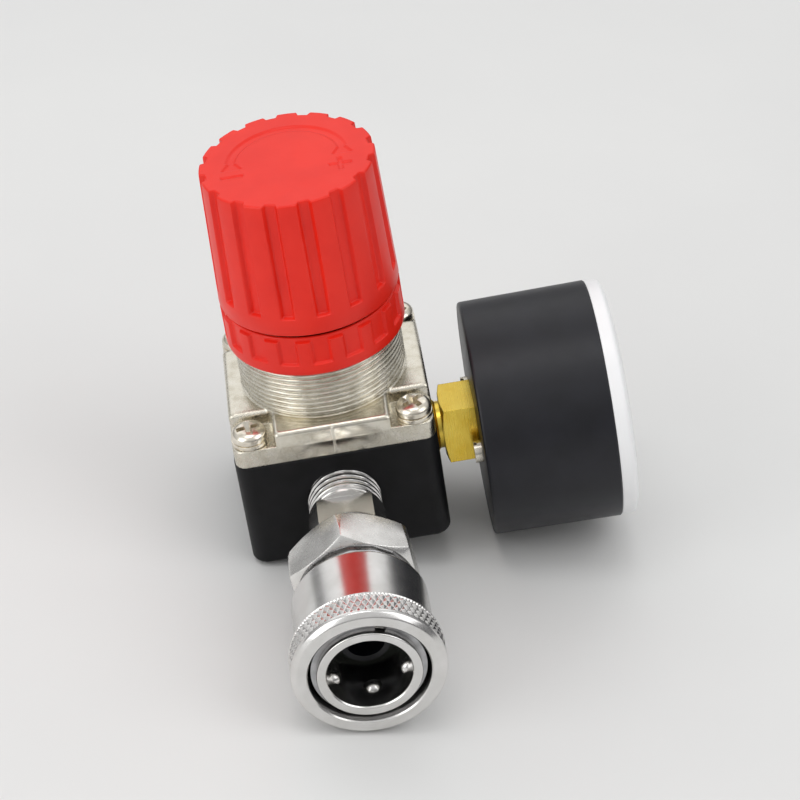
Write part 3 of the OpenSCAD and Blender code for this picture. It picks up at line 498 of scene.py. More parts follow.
def mark_relief(x, y):
    """Depth of the knob's top marks: a two-headed arrow over the back half, a minus and a plus."""
    r, angle = math.hypot(x, y), math.atan2(y, x)
    band = min(ARROW_HALF - abs(r - ARROW_R), r * (min(angle, math.pi - angle) - ARROW_END))
    heads = []
    for side in (-1, 1):
        across, along = abs(side * x - TIP_R), y - TIP_Y
        heads.append(min(along, TIP_HALF - across - along * TIP_SLOPE))
    minus = inside_box(x - MINUS_AT[0], y - MINUS_AT[1], MINUS_HALF, STROKE_HALF)
    plus_x, plus_y = x - PLUS_AT[0], y - PLUS_AT[1]
    plus = max(inside_box(plus_x, plus_y, PLUS_HALF, STROKE_HALF),
               inside_box(plus_x, plus_y, STROKE_HALF, PLUS_HALF))
    return MARK_DEPTH * smoothstep(-MARK_SOFT, MARK_SOFT, max(band, minus, plus, *heads))


def knob_point(r, z, angle):
    if z < KNOB_CEILING + 0.01 and r < KNOB_BORE + 0.4:
        return r, z
    share = smoothstep(0, 1, (r - (KNOB_TOP_R - RIM_REACH)) / RIM_REACH)
    out = r - flute_depth(angle, r, z) * share
    if z > KNOB_HIGH.z - 0.01:
        z -= mark_relief(out * math.cos(angle), out * math.sin(angle))
    return out, z


def knob_profile():
    z0, z1 = KNOB_LOW.z, KNOB_HIGH.z
    profile = [(0, KNOB_CEILING), (KNOB_BORE, KNOB_CEILING), (KNOB_BORE, z0 + 0.3), (KNOB_BORE + 0.3, z0)]
    profile += [(KNOB_R - 0.35, z0), (KNOB_R - 0.1, z0 + 0.1), (KNOB_R, z0 + 0.35)]
    rows = [FLUTE_START + k * 0.09 for k in range(-1, 7)] + [k * 1.6 for k in range(3, 16)]
    for rise in sorted(rows):
        profile.append((KNOB_R + (KNOB_TOP_R - KNOB_R) * rise / (z1 - z0), z0 + rise))
    for k in range(5):
        turn = math.pi / 2 * k / 4
        profile.append((KNOB_TOP_R - 0.4 * (1 - math.cos(turn)), z1 - 0.4 * (1 - math.sin(turn))))
    rings = 72
    for k in range(1, rings):
        profile.append(((KNOB_TOP_R - 0.4) * (1 - k / rings), z1))
    return profile + [(0, z1)]


piece("knob_shell", [revolve(knob_profile(), FLUTES * 34, knob_point)], RED, "knob", "knob",
      sharp=50)

# Panel nut on the bonnet's threaded neck
NECK_R = 15.0
POCKETS = 17
POCKET_AT = math.radians(-99) + TAU / POCKETS / 2
POCKET_W = 3.4
POCKET_DEPTH = 0.6
POCKET_START = 2.0
RIB_DROP = 0.8
NUT_R = (NUT_HIGH.x - NUT_LOW.x) / 2
NUT_BORE = NECK_R + RUNNING_GAP


def nut_point(r, z, angle):
    if r < NUT_R - POCKET_DEPTH - 0.2:
        return r, z
    across = abs(wrapped(angle - POCKET_AT, TAU / POCKETS)) * r
    side = 1 - smoothstep(POCKET_W / 2 - 0.3, POCKET_W / 2 + 0.15, across)
    start = NUT_LOW.z + POCKET_START
    step = NUT_HIGH.z - RIB_DROP
    share = max(side * smoothstep(start, start + 0.4, z), smoothstep(step, step + 0.2, z))
    return r - POCKET_DEPTH * share, z


def nut_profile():
    z0, z1 = NUT_LOW.z, NUT_HIGH.z
    profile = [(NUT_BORE, z1), (NUT_BORE, z0 + 0.3), (NUT_BORE + 0.3, z0), (NUT_R - 0.3, z0),
               (NUT_R - 0.08, z0 + 0.09)]
    rises = [0.35, 1.2] + [POCKET_START + 0.08 * k for k in range(-1, 7)] + [3.4, 4.4, 5.4]
    rises += [z1 - z0 - RIB_DROP + 0.05 * k for k in range(-2, 6)]
    profile += [(NUT_R, z0 + rise) for rise in rises]
    return profile + [(NUT_R, z1 - 0.2), (NUT_R - 0.05, z1 - 0.06), (NUT_R - 0.15, z1)]


piece("panel_nut_shell", [revolve(nut_profile(), POCKETS * 30, nut_point, ring=True)], RED, "panel_nut",
      "panel_nut", sharp=50)

# Bonnet: slab, raised plate with open corners, and threaded neck
PLATE_HALF = (BONNET_HIGH.x - BONNET_LOW.x) / 2
PLATE_TOP = BODY_HIGH.z + 6.4
HEAD_R = 3.2
SCREW_AT = (SCREWS_HIGH.x - SCREWS_LOW.x) / 2 - HEAD_R
POCKET_IN = SCREW_AT - HEAD_R - 1.1
POCKET_FLOOR = WASHERS_LOW.z
NECK_ROOT = NECK_R - 0.5
NECK_PITCH = 1.0
ROW_STEP = 0.08
STEM_HOLE = 4.06
SPRING_BORE = 11.0
DOME_T = 3.0
PLATE_CORNER = 2.2
PLATE_EASE = 0.9
SEAM_HALF = 0.09
NECK_TOP = NUT_HIGH.z - 0.3


def square_outline(half, r, inset, steps=6):
    points = []
    side = half - inset
    fillet = max(r - inset, 0.05)
    for corner in range(4):
        cx = (side - fillet) * (1 if corner in (0, 3) else -1)
        cy = (side - fillet) * (1 if corner < 2 else -1)
        for k in range(steps + 1):
            turn = math.pi / 2 * (corner + k / steps)
            points.append((cx + fillet * math.cos(turn), cy + fillet * math.sin(turn)))
    return points


def plus_outline(half, arm, inset):
    """Outline of the raised plate: a square whose four corners are cut away, with eased corners."""
    far, near, ease = half - inset, arm - inset, 0.55
    points = []
    for quarter in range(4):
        turn = Matrix.Rotation(math.pi / 2 * quarter, 2)
        corner = [(far, near - ease), (far - ease * 0.3, near - ease * 0.3), (far - ease, near),
                  (near + 0.7, near), (near + 0.2, near + 0.2), (near, near + 0.7),
                  (near, far - ease), (near - ease * 0.3, far - ease * 0.3), (near - ease, far)]
        points += [tuple(turn @ Vector(p)) for p in corner]
    return points


def thread_wave(share):
    """Height of a rounded thread form over one pitch, 0 at the root and 1 at the crest."""
    return smoothstep(0.0, 0.34, share) * (1 - smoothstep(0.66, 1.0, share))


def neck_point(r, z, angle):
    if r < NECK_ROOT - 0.05 or z > NECK_TOP - 0.2 or z < PLATE_TOP + 0.25:
        return r, z
    run_in = smoothstep(PLATE_TOP + 0.2, PLATE_TOP + 0.9, z)
    run_out = 1 - smoothstep(NECK_TOP - 1.0, NECK_TOP - 0.3, z)
    wave = thread_wave((z / NECK_PITCH - angle / TAU) % 1.0)
    return NECK_ROOT + (NECK_R - NECK_ROOT) * wave * run_in * run_out, z


def neck_profile():
    top = BONNET_HIGH.z
    profile = [(STEM_HOLE, top - DOME_T), (SPRING_BORE, top - DOME_T), (SPRING_BORE, BODY_HIGH.z),
               (NECK_ROOT, BODY_HIGH.z), (NECK_ROOT + 0.5, PLATE_TOP - 0.4),
               (NECK_ROOT + 0.45, PLATE_TOP + 0.05), (NECK_ROOT + 0.15, PLATE_TOP + 0.2)]
    rows = int((NECK_TOP - PLATE_TOP - 0.5) / ROW_STEP)
    profile += [(NECK_ROOT, PLATE_TOP + 0.25 + ROW_STEP * k) for k in range(rows)]
    profile += [(NECK_ROOT, NECK_TOP - 0.2), (DOME_R, NECK_TOP), (DOME_R, top - 0.6), (DOME_R - 0.6, top),
                (STEM_HOLE, top)]
    return profile


slab = loft(lambda inset: square_outline(PLATE_HALF, PLATE_CORNER, inset),
            edge_rows(BODY_HIGH.z, POCKET_FLOOR, 0.15, 0.3))
raised = loft(lambda inset: plus_outline(PLATE_HALF - 0.02, POCKET_IN, inset),
              edge_rows(BODY_HIGH.z + 0.6, PLATE_TOP, 0.0, PLATE_EASE))
neck_hole = rod(NECK_ROOT - 1.0, BODY_HIGH.z - 1, PLATE_TOP + 1, 96)
plate = joined(joined(slab, raised, "UNION"), neck_hole, "DIFFERENCE")
seam = box_shell((-SEAM_HALF, -PLATE_HALF - 0.05, BODY_HIGH.z + 0.4),
                 (SEAM_HALF, -PLATE_HALF + 0.3, PLATE_TOP - 0.5))
neck = revolve(neck_profile(), 144, neck_point, ring=True)
piece("bonnet_casting", [plate, neck, bevelled(seam, 0.04, 2)], NICKEL, ROOT, "bonnet",
      sharp=38)

# Bonnet screws with cross recesses, and split lock washers
HEAD_Z = WASHERS_HIGH.z
HEAD_H = SCREWS_HIGH.z - HEAD_Z
SCREW_R = 1.95
WASHER_R = 2.0
WASHER_GAP = 0.16
WASHER_RISE = 0.12
SCREW_TURNS = {(-1, -1): 8, (1, -1): 35, (1, 1): 60, (-1, 1): 20}


def taper_box(half_top, half_low, z0, z1, width):
    """Blade of a cross recess, narrower at its bottom."""
    points = []
    for half, side, z in ((half_low, width * 0.6, z0), (half_top, width, z1)):
        points += [(-half, -side, z), (half, -side, z), (half, side, z), (-half, side, z)]
    faces = [(3, 2, 1, 0), (4, 5, 6, 7), (0, 1, 5, 4), (1, 2, 6, 5), (2, 3, 7, 6), (3, 0, 4, 7)]
    return points, faces


def screw_head():
    profile = [(0, 0), (HEAD_R - 0.25, 0), (HEAD_R, 0.2), (HEAD_R, HEAD_H * 0.35)]
    for k in range(1, 9):
        turn = math.pi / 2 * k / 8
        profile.append((HEAD_R * (0.42 + 0.58 * math.cos(turn)), HEAD_H * (0.35 + 0.65 * math.sin(turn))))
    head = revolve(profile + [(0, HEAD_H)], 48)
    for turn in (0, 90):
        blade = taper_box(HEAD_R * 0.80, HEAD_R * 0.30, HEAD_H - 1.7, HEAD_H + 0.5, HEAD_R * 0.19)
        head = joined(head, moved(blade, Matrix.Rotation(math.radians(turn), 4, "Z")), "DIFFERENCE")
    return head


def split_washer(r0, r1, h, gap, rise, steps=60):
    """Spring lock washer: a square ring cut once, its ends a little apart in height."""
    points, faces = [], []
    for k in range(steps + 1):
        turn = gap / 2 + (TAU - gap) * k / steps
        lift = rise * k / steps
        for r, z in ((r0, 0), (r1, 0), (r1, h), (r0, h)):
            points.append((r * math.cos(turn), r * math.sin(turn), z + lift))
    for k in range(steps):
        for side in range(4):
            n = (side + 1) % 4
            a, b = 4 * k, 4 * (k + 1)
            faces.append((a + side, b + side, b + n, a + n))
    faces += [(0, 1, 2, 3), tuple(4 * steps + i for i in (3, 2, 1, 0))]
    return bevelled((points, faces), 0.06, 2, 50)


head_shell = screw_head()
shank_shell = rod(SCREW_R, SCREWS_LOW.z - HEAD_Z, 0.1, 24, 0.3)
washer_h = WASHERS_HIGH.z - WASHERS_LOW.z - WASHER_RISE
washer_shell = split_washer(WASHER_R, HEAD_R + 0.1, washer_h, WASHER_GAP, WASHER_RISE)
screw_shells, washer_shells = [], []
for (side_x, side_y), turn in SCREW_TURNS.items():
    spin = Matrix.Rotation(math.radians(turn), 4, "Z")
    at = Matrix.Translation((side_x * SCREW_AT, side_y * SCREW_AT, HEAD_Z))
    screw_shells += [moved(head_shell, at @ spin), moved(shank_shell, at)]
    under = Matrix.Translation((side_x * SCREW_AT, side_y * SCREW_AT, WASHERS_LOW.z))
    washer_shells.append(moved(washer_shell, under @ Matrix.Rotation(math.radians(turn * 5 - 70), 4, "Z")))
piece("bonnet_screw_set", screw_shells, STEEL, ROOT, "bonnet_screws")
piece("lock_washer_set", washer_shells, STEEL, ROOT, "lock_washers")

# Body, with its ports, valve bore and diaphragm chamber
BODY_HALF = (BODY_HIGH.x - BODY_LOW.x) / 2
BODY_CORNER = 3.0
OUTLET_R = 6.64
GAUGE_PORT_R = 4.92
GAUGE_PORT_S = 9.3
INLET_Z = 9.0
INLET_R = 5.72
INLET_ROOT = 6.45
INLET_PITCH = 1.337
PORT_DEPTH = 10.0
PASSAGE_R = 2.4
DIAPHRAGM_R = (DIAPHRAGM_HIGH.x - DIAPHRAGM_LOW.x) / 2
CHAMBER_R = DIAPHRAGM_R - 3.4
CHAMBER_Z = DIAPHRAGM_LOW.z - 3.3
SEAT_BORE = (SEAT_HIGH.x - SEAT_LOW.x) / 2 + RUNNING_GAP
VALVE_R = 6.0


def inlet_point(r, z, angle):
    if r > INLET_ROOT:
        return r, z
    return INLET_ROOT - (INLET_ROOT - INLET_R) * thread_wave((z / INLET_PITCH + angle / TAU) % 1.0), z


def inlet_profile():
    """Thread that lines the inlet, from the port's bottom to its eased lip."""
    low, high = BODY_HALF - PORT_DEPTH + 0.1, BODY_HALF - 0.7
    rows = int((high - low) / 0.12)
    inner = [(INLET_ROOT, high - (high - low) * k / rows) for k in range(rows + 1)]
    return inner + [(INLET_ROOT + 0.2, low), (INLET_ROOT + 0.2, high)]


block = loft(lambda inset: square_outline(BODY_HALF, BODY_CORNER, inset, 8),
             edge_rows(BODY_LOW.z, BODY_HIGH.z, 1.0, 0.25))
outlet_bore = moved(rod(OUTLET_R, BODY_HALF - PORT_DEPTH, BODY_HALF + 2), AT_COUPLER)
gauge_bore = moved(rod(GAUGE_PORT_R, GAUGE_PORT_S, BODY_HALF + 2), AT_GAUGE)
backwards = Matrix.Rotation(math.radians(-90), 4, "X")
inlet_place = Matrix.Translation((0, 0, INLET_Z)) @ backwards
inlet_bore = moved(rod(INLET_ROOT + 0.1, BODY_HALF - PORT_DEPTH, BODY_HALF + 2), inlet_place)
lip = [(0, BODY_HALF - 0.9), (5.7, BODY_HALF - 0.9), (6.9, BODY_HALF + 0.3), (0, BODY_HALF + 0.3)]
inlet_lip = moved(revolve(lip, 64), inlet_place)
passage_place = Matrix.Translation((0, 0, PLUG_HIGH.z + PASSAGE_R)) @ backwards
passage = moved(rod(PASSAGE_R, 0, BODY_HALF - PORT_DEPTH + 1), passage_place)
plug_bore = rod((PLUG_HIGH.x - PLUG_LOW.x) / 2 + RUNNING_GAP, -1, PLUG_HIGH.z)
valve_bore = rod(VALVE_R, PLUG_HIGH.z - 1, SEAT_LOW.z + 0.5)
seat_bore = rod(SEAT_BORE, SEAT_LOW.z, CHAMBER_Z + 1)
chamber = rod(CHAMBER_R, CHAMBER_Z, BODY_HIGH.z + 1, 128)
recess = rod(DIAPHRAGM_R + FREE_GAP, DIAPHRAGM_LOW.z, BODY_HIGH.z + 2, 128)
BORES = (outlet_bore, gauge_bore, inlet_bore, inlet_lip, passage, plug_bore, valve_bore, seat_bore, chamber,
         recess)
for bore in BORES:
    block = joined(block, bore, "DIFFERENCE")
inlet_thread = moved(revolve(inlet_profile(), 96, inlet_point, ring=True), inlet_place)
piece("body_block", [block, inlet_thread], BLACK_PAINT, ROOT, "body", sharp=32)

# Gauge case
CASE_R = (CASE_HIGH.y - CASE_LOW.y) / 2
CASE_BACK_R = CASE_R - 0.3
CASE_X0, CASE_X1 = CASE_LOW.x, CASE_HIGH.x
CASE_HOLE = 4.95
CASE_BACK = 2.0
case_corners = [(CASE_HOLE, CASE_X0 + CASE_BACK, 0), (CASE_HOLE, CASE_X0, 0),
                (CASE_BACK_R - 2.4, CASE_X0, 0.3),
                (CASE_BACK_R - 2.0, CASE_X0 + 0.15, 0.3), (CASE_BACK_R - 1.7, CASE_X0, 0.2),
                (CASE_BACK_R, CASE_X0, 0.7), (CASE_R, CASE_X1 - 0.2, 0), (CASE_R - 0.2, CASE_X1, 0),
                (CASE_R - 1.9, CASE_X1, 0), (CASE_R - 1.95, CASE_X0 + CASE_BACK, 0)]
case = revolve(rounded_profile(case_corners, 6), 192, ring=True)
piece("gauge_case_shell", [case], BLACK_PLASTIC, ROOT, "gauge_case", AT_GAUGE, 40)

# Dial print: scale ticks and plain numbers
DIAL_FACE = DIAL_HIGH.x
PRINT_H = 0.05
SCALE_R = 17.4
SWEEP_START = 225
SWEEP = 270
DIVISIONS = 50
TICKS = ((10, 2.6, 0.4), (5, 1.9, 0.25), (1, 1.2, 0.14))
NUMBERS = (0, 2, 4, 6, 8, 10)
NUMBER_R = SCALE_R - 4.7
NUMBER_H = 3.4


def dial_direction(share):
    """Unit direction on the dial for a share of the scale, in the gauge's local frame."""
    angle = math.radians(SWEEP_START - SWEEP * share)
    return Vector((-math.sin(angle), math.cos(angle), 0))


def dial_tick(share, r0, r1, width):
    out = dial_direction(share)
    side = Vector((-out.y, out.x, 0)) * width / 2
    base = [out * r0 - side, out * r0 + side, out * r1 + side, out * r1 - side]
    points = [tuple(p + Vector((0, 0, z))) for z in (DIAL_FACE, DIAL_FACE + PRINT_H) for p in base]
    faces = [(3, 2, 1, 0), (4, 5, 6, 7), (0, 1, 5, 4), (1, 2, 6, 5), (2, 3, 7, 6), (3, 0, 4, 7)]
    return points, faces


def dial_arc(r0, r1, steps=120):
    points, faces = [], []
    for k in range(steps + 1):
        out = dial_direction(k / steps)
        for r in (r0, r1):
            for z in (DIAL_FACE, DIAL_FACE + PRINT_H):
                points.append(tuple(out * r + Vector((0, 0, z))))
    for k in range(steps):
        a, b = 4 * k, 4 * (k + 1)
        for m, n in ((0, 1), (1, 3), (3, 2), (2, 0)):
            faces.append((a + m, b + m, b + n, a + n))
    faces += [(0, 1, 3, 2), tuple(4 * steps + i for i in (2, 3, 1, 0))]
    return points, faces


def number_shell(text, share, r, height):
    curve = bpy.data.curves.new("number", "FONT")
    curve.body = text
    curve.size = height
    curve.align_x = "CENTER"
    curve.align_y = "CENTER"
    curve.extrude = PRINT_H / 2
    obj = bpy.data.objects.new("number", curve)
    bpy.context.scene.collection.objects.link(obj)
    shell = read_back(obj)
    bpy.data.curves.remove(curve)
    at = dial_direction(share) * r
    upright = Matrix(((0, -1, 0, at.x), (1, 0, 0, at.y), (0, 0, 1, DIAL_FACE + PRINT_H / 2), (0, 0, 0, 1)))
    return moved(shell, upright)


marks = [dial_arc(SCALE_R - 0.15, SCALE_R)]
for i in range(DIVISIONS + 1):
    length, width = next(tick[1:] for tick in TICKS if i % tick[0] == 0)
    marks.append(dial_tick(i / DIVISIONS, SCALE_R - length, SCALE_R, width))
for number in NUMBERS:
    marks.append(number_shell(str(number), number / NUMBERS[-1], NUMBER_R, NUMBER_H))
piece("dial_print", marks, PRINT_BLACK, ROOT, None, AT_GAUGE)

# Window: a clear moulding whose side band is frosted
WINDOW_X0 = CASE_X1
WINDOW_X1 = WINDOW_HIGH.x
BAND = 2.3
BAND_WALL = 1.7
RIM_R = CASE_R - 0.15
SKIRT_R = 19.75
LENS_R = RIM_R - BAND_WALL
lens_corners = [(0, WINDOW_X1, 0), (RIM_R - 4, WINDOW_X1 - 0.25, 1.5), (LENS_R, WINDOW_X0 + BAND + 0.8, 0.2),
                (LENS_R, WINDOW_X0, 0), (SKIRT_R, WINDOW_X0, 0), (SKIRT_R, WINDOW_X0 - 2.6, 0),
                (SKIRT_R - 0.9, WINDOW_X0 - 2.6, 0), (SKIRT_R - 0.9, WINDOW_X0 + 0.4, 0.3),
                (RIM_R - 4.4, WINDOW_X1 - 1.8, 0.5), (0, WINDOW_X1 - 1.6, 0)]
band_corners = [(LENS_R, WINDOW_X0 + BAND + 0.8, 0), (LENS_R + 0.4, WINDOW_X0 + BAND + 0.75, 0.2),
                (RIM_R - 0.3, WINDOW_X0 + BAND + 0.3, 0.3), (RIM_R, WINDOW_X0 + BAND - 0.2, 0.3),
                (RIM_R, WINDOW_X0, 0.15), (LENS_R, WINDOW_X0, 0)]
lens_profile = list(reversed(rounded_profile(lens_corners, 5)))
band_profile = list(reversed(rounded_profile(band_corners, 4)))
lens = revolve(lens_profile, 192)
band = revolve(band_profile, 192, ring=True)
piece("gauge_window_lens", [lens], CLEAR, ROOT, "gauge_window", AT_GAUGE, 40)
piece("gauge_window_band", [band], FROSTED, ROOT, "gauge_window", AT_GAUGE, 40)

# Coupler adapter: threaded shank, neck with two flats, flare and hexagon, bored through
SHANK_R = 6.58
SHANK_PITCH = 1.337
SHANK_DEPTH = 0.75
SHANK_ROW = 0.1
SHANK_BORE = 4.0
VALVE_ROOM_R = 7.2
VALVE_ROOM_LEAD = 1.5
ADAPTER_S0 = -ADAPTER_HIGH.y
HEX_END = -ADAPTER_LOW.y
HEX_LEN = 8.3
HEX_S = HEX_END - HEX_LEN
HEX_AF = 21.0
HEX_TURN = math.radians(36)
HEX_EASE = 0.3
HEX_CHAMFER = 1.1
NECK_S = BODY_HALF + 5.3
FLAT_END = NECK_S + 8.0
NECK_BAR_R = SHANK_R + 0.25
FLAT_H = 4.7
FLAT_REACH = 12
FLARE_START_R = NECK_BAR_R + 0.6
FLARE_R = HEX_AF / 2 - 0.1


def shank_point(r, z, angle):
    if r < 5.0 or z < ADAPTER_S0 + 0.3 or z > NECK_S - 0.1:
        return r, z
    fade = smoothstep(ADAPTER_S0 + 0.2, ADAPTER_S0 + 1.0, z) * (1 - smoothstep(NECK_S - 1.0, NECK_S - 0.2, z))
    wave = thread_wave((z / SHANK_PITCH - angle / TAU) % 1.0)
    return SHANK_R - SHANK_DEPTH + SHANK_DEPTH * wave * fade, z


def shank_profile():
    rows = int((NECK_S - ADAPTER_S0 - 0.4) / SHANK_ROW)
    profile = [(SHANK_BORE, NECK_S), (SHANK_BORE, ADAPTER_S0), (SHANK_R - 1.0, ADAPTER_S0)]
    profile += [(SHANK_R - SHANK_DEPTH, ADAPTER_S0 + 0.3 + SHANK_ROW * k) for k in range(rows)]
    return profile + [(SHANK_R - SHANK_DEPTH, NECK_S)]


def hex_shell():
    r = HEX_AF / math.sqrt(3)
    outline = [(r * math.cos(HEX_TURN + TAU * k / 6), r * math.sin(HEX_TURN + TAU * k / 6)) for k in range(6)]
    prism = loft(lambda inset: outline, [(0, HEX_S), (0, HEX_END)])
    low = HEX_AF / 2 - 0.1
    turned = revolve([(0, HEX_S - 0.01), (low, HEX_S - 0.01), (r - HEX_EASE, HEX_S + HEX_CHAMFER),
                      (r + HEX_EASE / 3, HEX_END - HEX_CHAMFER), (low, HEX_END + 0.01),
                      (0, HEX_END + 0.01)], 128)
    return joined(prism, turned, "INTERSECT")


def neck_shell():
    bar = rod(NECK_BAR_R, NECK_S, FLAT_END + 0.6, 96, 0.25)
    for low, high in ((-FLAT_REACH, -FLAT_H), (FLAT_H, FLAT_REACH)):
        cut = box_shell((-FLAT_REACH, low, NECK_S - 1), (FLAT_REACH, high, FLAT_END))
        bar = joined(bar, cut, "DIFFERENCE")
    return bar


flare = revolve(rounded_profile([(0, FLAT_END, 0), (FLARE_START_R, FLAT_END, 0.35), (FLARE_R, HEX_S, 0),
                                 (FLARE_R, HEX_S + 0.5, 0), (0, HEX_S + 0.5, 0)]), 128)
hexagon = bevelled(hex_shell(), 0.12, 2, 20)
air_bore = rod(SHANK_BORE, NECK_S - 1, HEX_END + 1, 96)
valve_room = rod(VALVE_ROOM_R, HEX_S - VALVE_ROOM_LEAD, HEX_END + 1, 96)
front_pocket = rod(NOSE_HIGH.x + RUNNING_GAP, HEX_END - 4.5, HEX_END + 2, 96)
neck_bar = joined(neck_shell(), air_bore, "DIFFERENCE")
flare = joined(joined(flare, air_bore, "DIFFERENCE"), valve_room, "DIFFERENCE")
hexagon = joined(joined(hexagon, valve_room, "DIFFERENCE"), front_pocket, "DIFFERENCE")
shank = revolve(shank_profile(), 96, shank_point, ring=True)
piece("coupler_adapter_shank", [shank, neck_bar, flare], CHROME, ROOT, "coupler_adapter",
      AT_COUPLER, 28)
piece("coupler_adapter_hexagon", [hexagon], CHROME_PLAIN, ROOT, "coupler_adapter", AT_COUPLER, 28)

# Coupler sleeve with a diamond knurl
SLEEVE_S0, SLEEVE_S1 = -SLEEVE_HIGH.y, -SLEEVE_LOW.y
BALL_S = -(BALL_LOW.y + BALL_HIGH.y) / 2
SLEEVE_R = 11.8
KNURL_R = (SLEEVE_HIGH.x - SLEEVE_LOW.x) / 2
KNURL_S0, KNURL_S1 = BALL_S - 1.0, BALL_S + 3.6
KNURL_COUNT = 68
KNURL_LEAD = 2.4
KNURL_DEPTH = 0.34
MOUTH_OPEN = 10.36
LAND_R = 8.96
RAMP_SLOPE = 0.37
RAMP_R = 9.10
FACE_R = KNURL_R - 0.9


def diamond(angle, s):
    """Height of the knurl: small pyramids between two families of slanting grooves."""
    turns = angle / TAU * KNURL_COUNT
    rise = s / KNURL_LEAD
    return min(abs((turns + way * rise) % 1.0 - 0.5) * 2 for way in (1, -1))


def sleeve_point(r, z, angle):
    if r < KNURL_R - 0.05:
        return r, z
    fade = smoothstep(KNURL_S0 + 0.35, KNURL_S0 + 0.7, z) * (1 - smoothstep(KNURL_S1 - 0.25, KNURL_S1, z))
    return r - KNURL_DEPTH * fade * (1 - diamond(angle, z)), z


def sleeve_profile():
    bore = SLEEVE_R - 1.6
    shoulder = BALL_S - 4.0
    ramp_start = BALL_S - (RAMP_R - LAND_R) / RAMP_SLOPE
    ramp_stop = BALL_S + (MOUTH_OPEN - RAMP_R) / RAMP_SLOPE
    inner = [(MOUTH_OPEN + 0.25, SLEEVE_S1), (MOUTH_OPEN, SLEEVE_S1 - 0.25), (MOUTH_OPEN, ramp_stop),
             (LAND_R, ramp_start), (LAND_R, shoulder), (bore, shoulder), (bore, SLEEVE_S0 + 0.2),
             (bore + 0.2, SLEEVE_S0)]
    rear = rounded_profile([(bore + 0.2, SLEEVE_S0, 0), (SLEEVE_R - 0.4, SLEEVE_S0, 0.25),
                            (SLEEVE_R, SLEEVE_S0 + 0.55, 0.3), (SLEEVE_R, KNURL_S0 - 0.1, 0.15),
                            (KNURL_R - 0.4, KNURL_S0 + 0.1, 0.15), (KNURL_R, KNURL_S0 + 0.4, 0)], 3)
    rows = 48
    band = [(KNURL_R, KNURL_S0 + 0.4 + (KNURL_S1 - KNURL_S0 - 0.4) * k / rows) for k in range(1, rows + 1)]
    front = rounded_profile([(KNURL_R, KNURL_S1, 0), (KNURL_R - 0.06, KNURL_S1 + 0.6, 0.3),
                             (FACE_R, SLEEVE_S1, 0.3), (MOUTH_OPEN + 0.25, SLEEVE_S1, 0)], 6)
    return inner + rear[1:] + band + front[1:-1]


sleeve = revolve(sleeve_profile(), KNURL_COUNT * 10, sleeve_point, ring=True)
piece("coupler_sleeve", [sleeve], CHROME, "sleeve", "sleeve", AT_COUPLER, 36)

# Nose tube with the ball holes
NOSE_R = (NOSE_HIGH.x - NOSE_LOW.x) / 2
NOSE_S0, NOSE_S1 = -NOSE_HIGH.y, -NOSE_LOW.y
MOUTH_R = 7.0
BALL_R = (BALL_HIGH.x - BALL_LOW.x) / 2
BALLS = 6
SEAL_S = BALL_S - 9.8
ENTRY_R = MOUTH_R + 0.2
ENTRY_S = BALL_S + BALL_R + 0.15
SEAL_W = 2.8
SEAT_R = 5.3
SEAT_T = 2.0
SNAP_S = BALL_S + 2.5
SNAP_W = 0.92
SNAP_DEPTH = 0.6
nose_corners = [(VALVE_ROOM_R, NOSE_S0, 0), (NOSE_R, NOSE_S0, 0.2),
                (NOSE_R, SNAP_S, 0), (NOSE_R - SNAP_DEPTH, SNAP_S, 0),
                (NOSE_R - SNAP_DEPTH, SNAP_S + SNAP_W, 0), (NOSE_R, SNAP_S + SNAP_W, 0),
                (NOSE_R, NOSE_S1, 0.35), (ENTRY_R + 0.25, NOSE_S1, 0.1), (ENTRY_R, NOSE_S1 - 0.3, 0.1),
                (MOUTH_R, ENTRY_S, 0),
                (MOUTH_R, SEAL_S + SEAL_W, 0), (MOUTH_R + 0.5, SEAL_S + SEAL_W, 0),
                (MOUTH_R + 0.5, SEAL_S, 0), (SEAT_R, SEAL_S, 0), (SEAT_R, SEAL_S - SEAT_T, 0),
                (VALVE_ROOM_R, SEAL_S - SEAT_T, 0)]
nose = revolve(rounded_profile(nose_corners, 4), 128, ring=True)
for i in range(BALLS):
    around = Matrix.Rotation(TAU * i / BALLS - math.pi / 2, 4, "Z")
    outward = Matrix.Translation((0, 0, BALL_S)) @ around @ Matrix.Rotation(math.pi / 2, 4, "Y")
    nose = joined(nose, moved(rod(BALL_R + RUNNING_GAP, 5.5, 12, 32), outward), "DIFFERENCE")
piece("coupler_nose_tube", [nose], CHROME, ROOT, "coupler_nose", AT_COUPLER, 32)

# Springs, copied from the CAD nodes
SPRINGS = (
    ("main_spring", "spring_seat_travel", (0, 0, 1), "low"),
    ("valve_spring", "valve_lift", (0, 0, 1), "low"),
    ("sleeve_spring", "sleeve_slide", (0, 1, 0), "high"),
    ("check_spring", "check_valve_push", (0, 1, 0), "high"),
)


def working_spring(node, joint, axis, still_end):
    """Copy of a CAD spring, riding on the regulator body."""
    spring = bpy.data.objects.new(node + "_coil", frame["nodes"][node].data.copy())
    bpy.context.scene.collection.objects.link(spring)
    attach(spring, ROOT)
    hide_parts(node)
    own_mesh(spring)


for spring_values in SPRINGS:
    working_spring(*spring_values)

# Diaphragm, in flat wedges with rows of points from the plate's edge out to the chamber's edge
WEDGES = 12
WEDGE_STEPS = 4
BEND_STEPS = 6
DIAPHRAGM_HOLE = 1.96
DISC_R = (DISC_HIGH.x - DISC_LOW.x) / 2


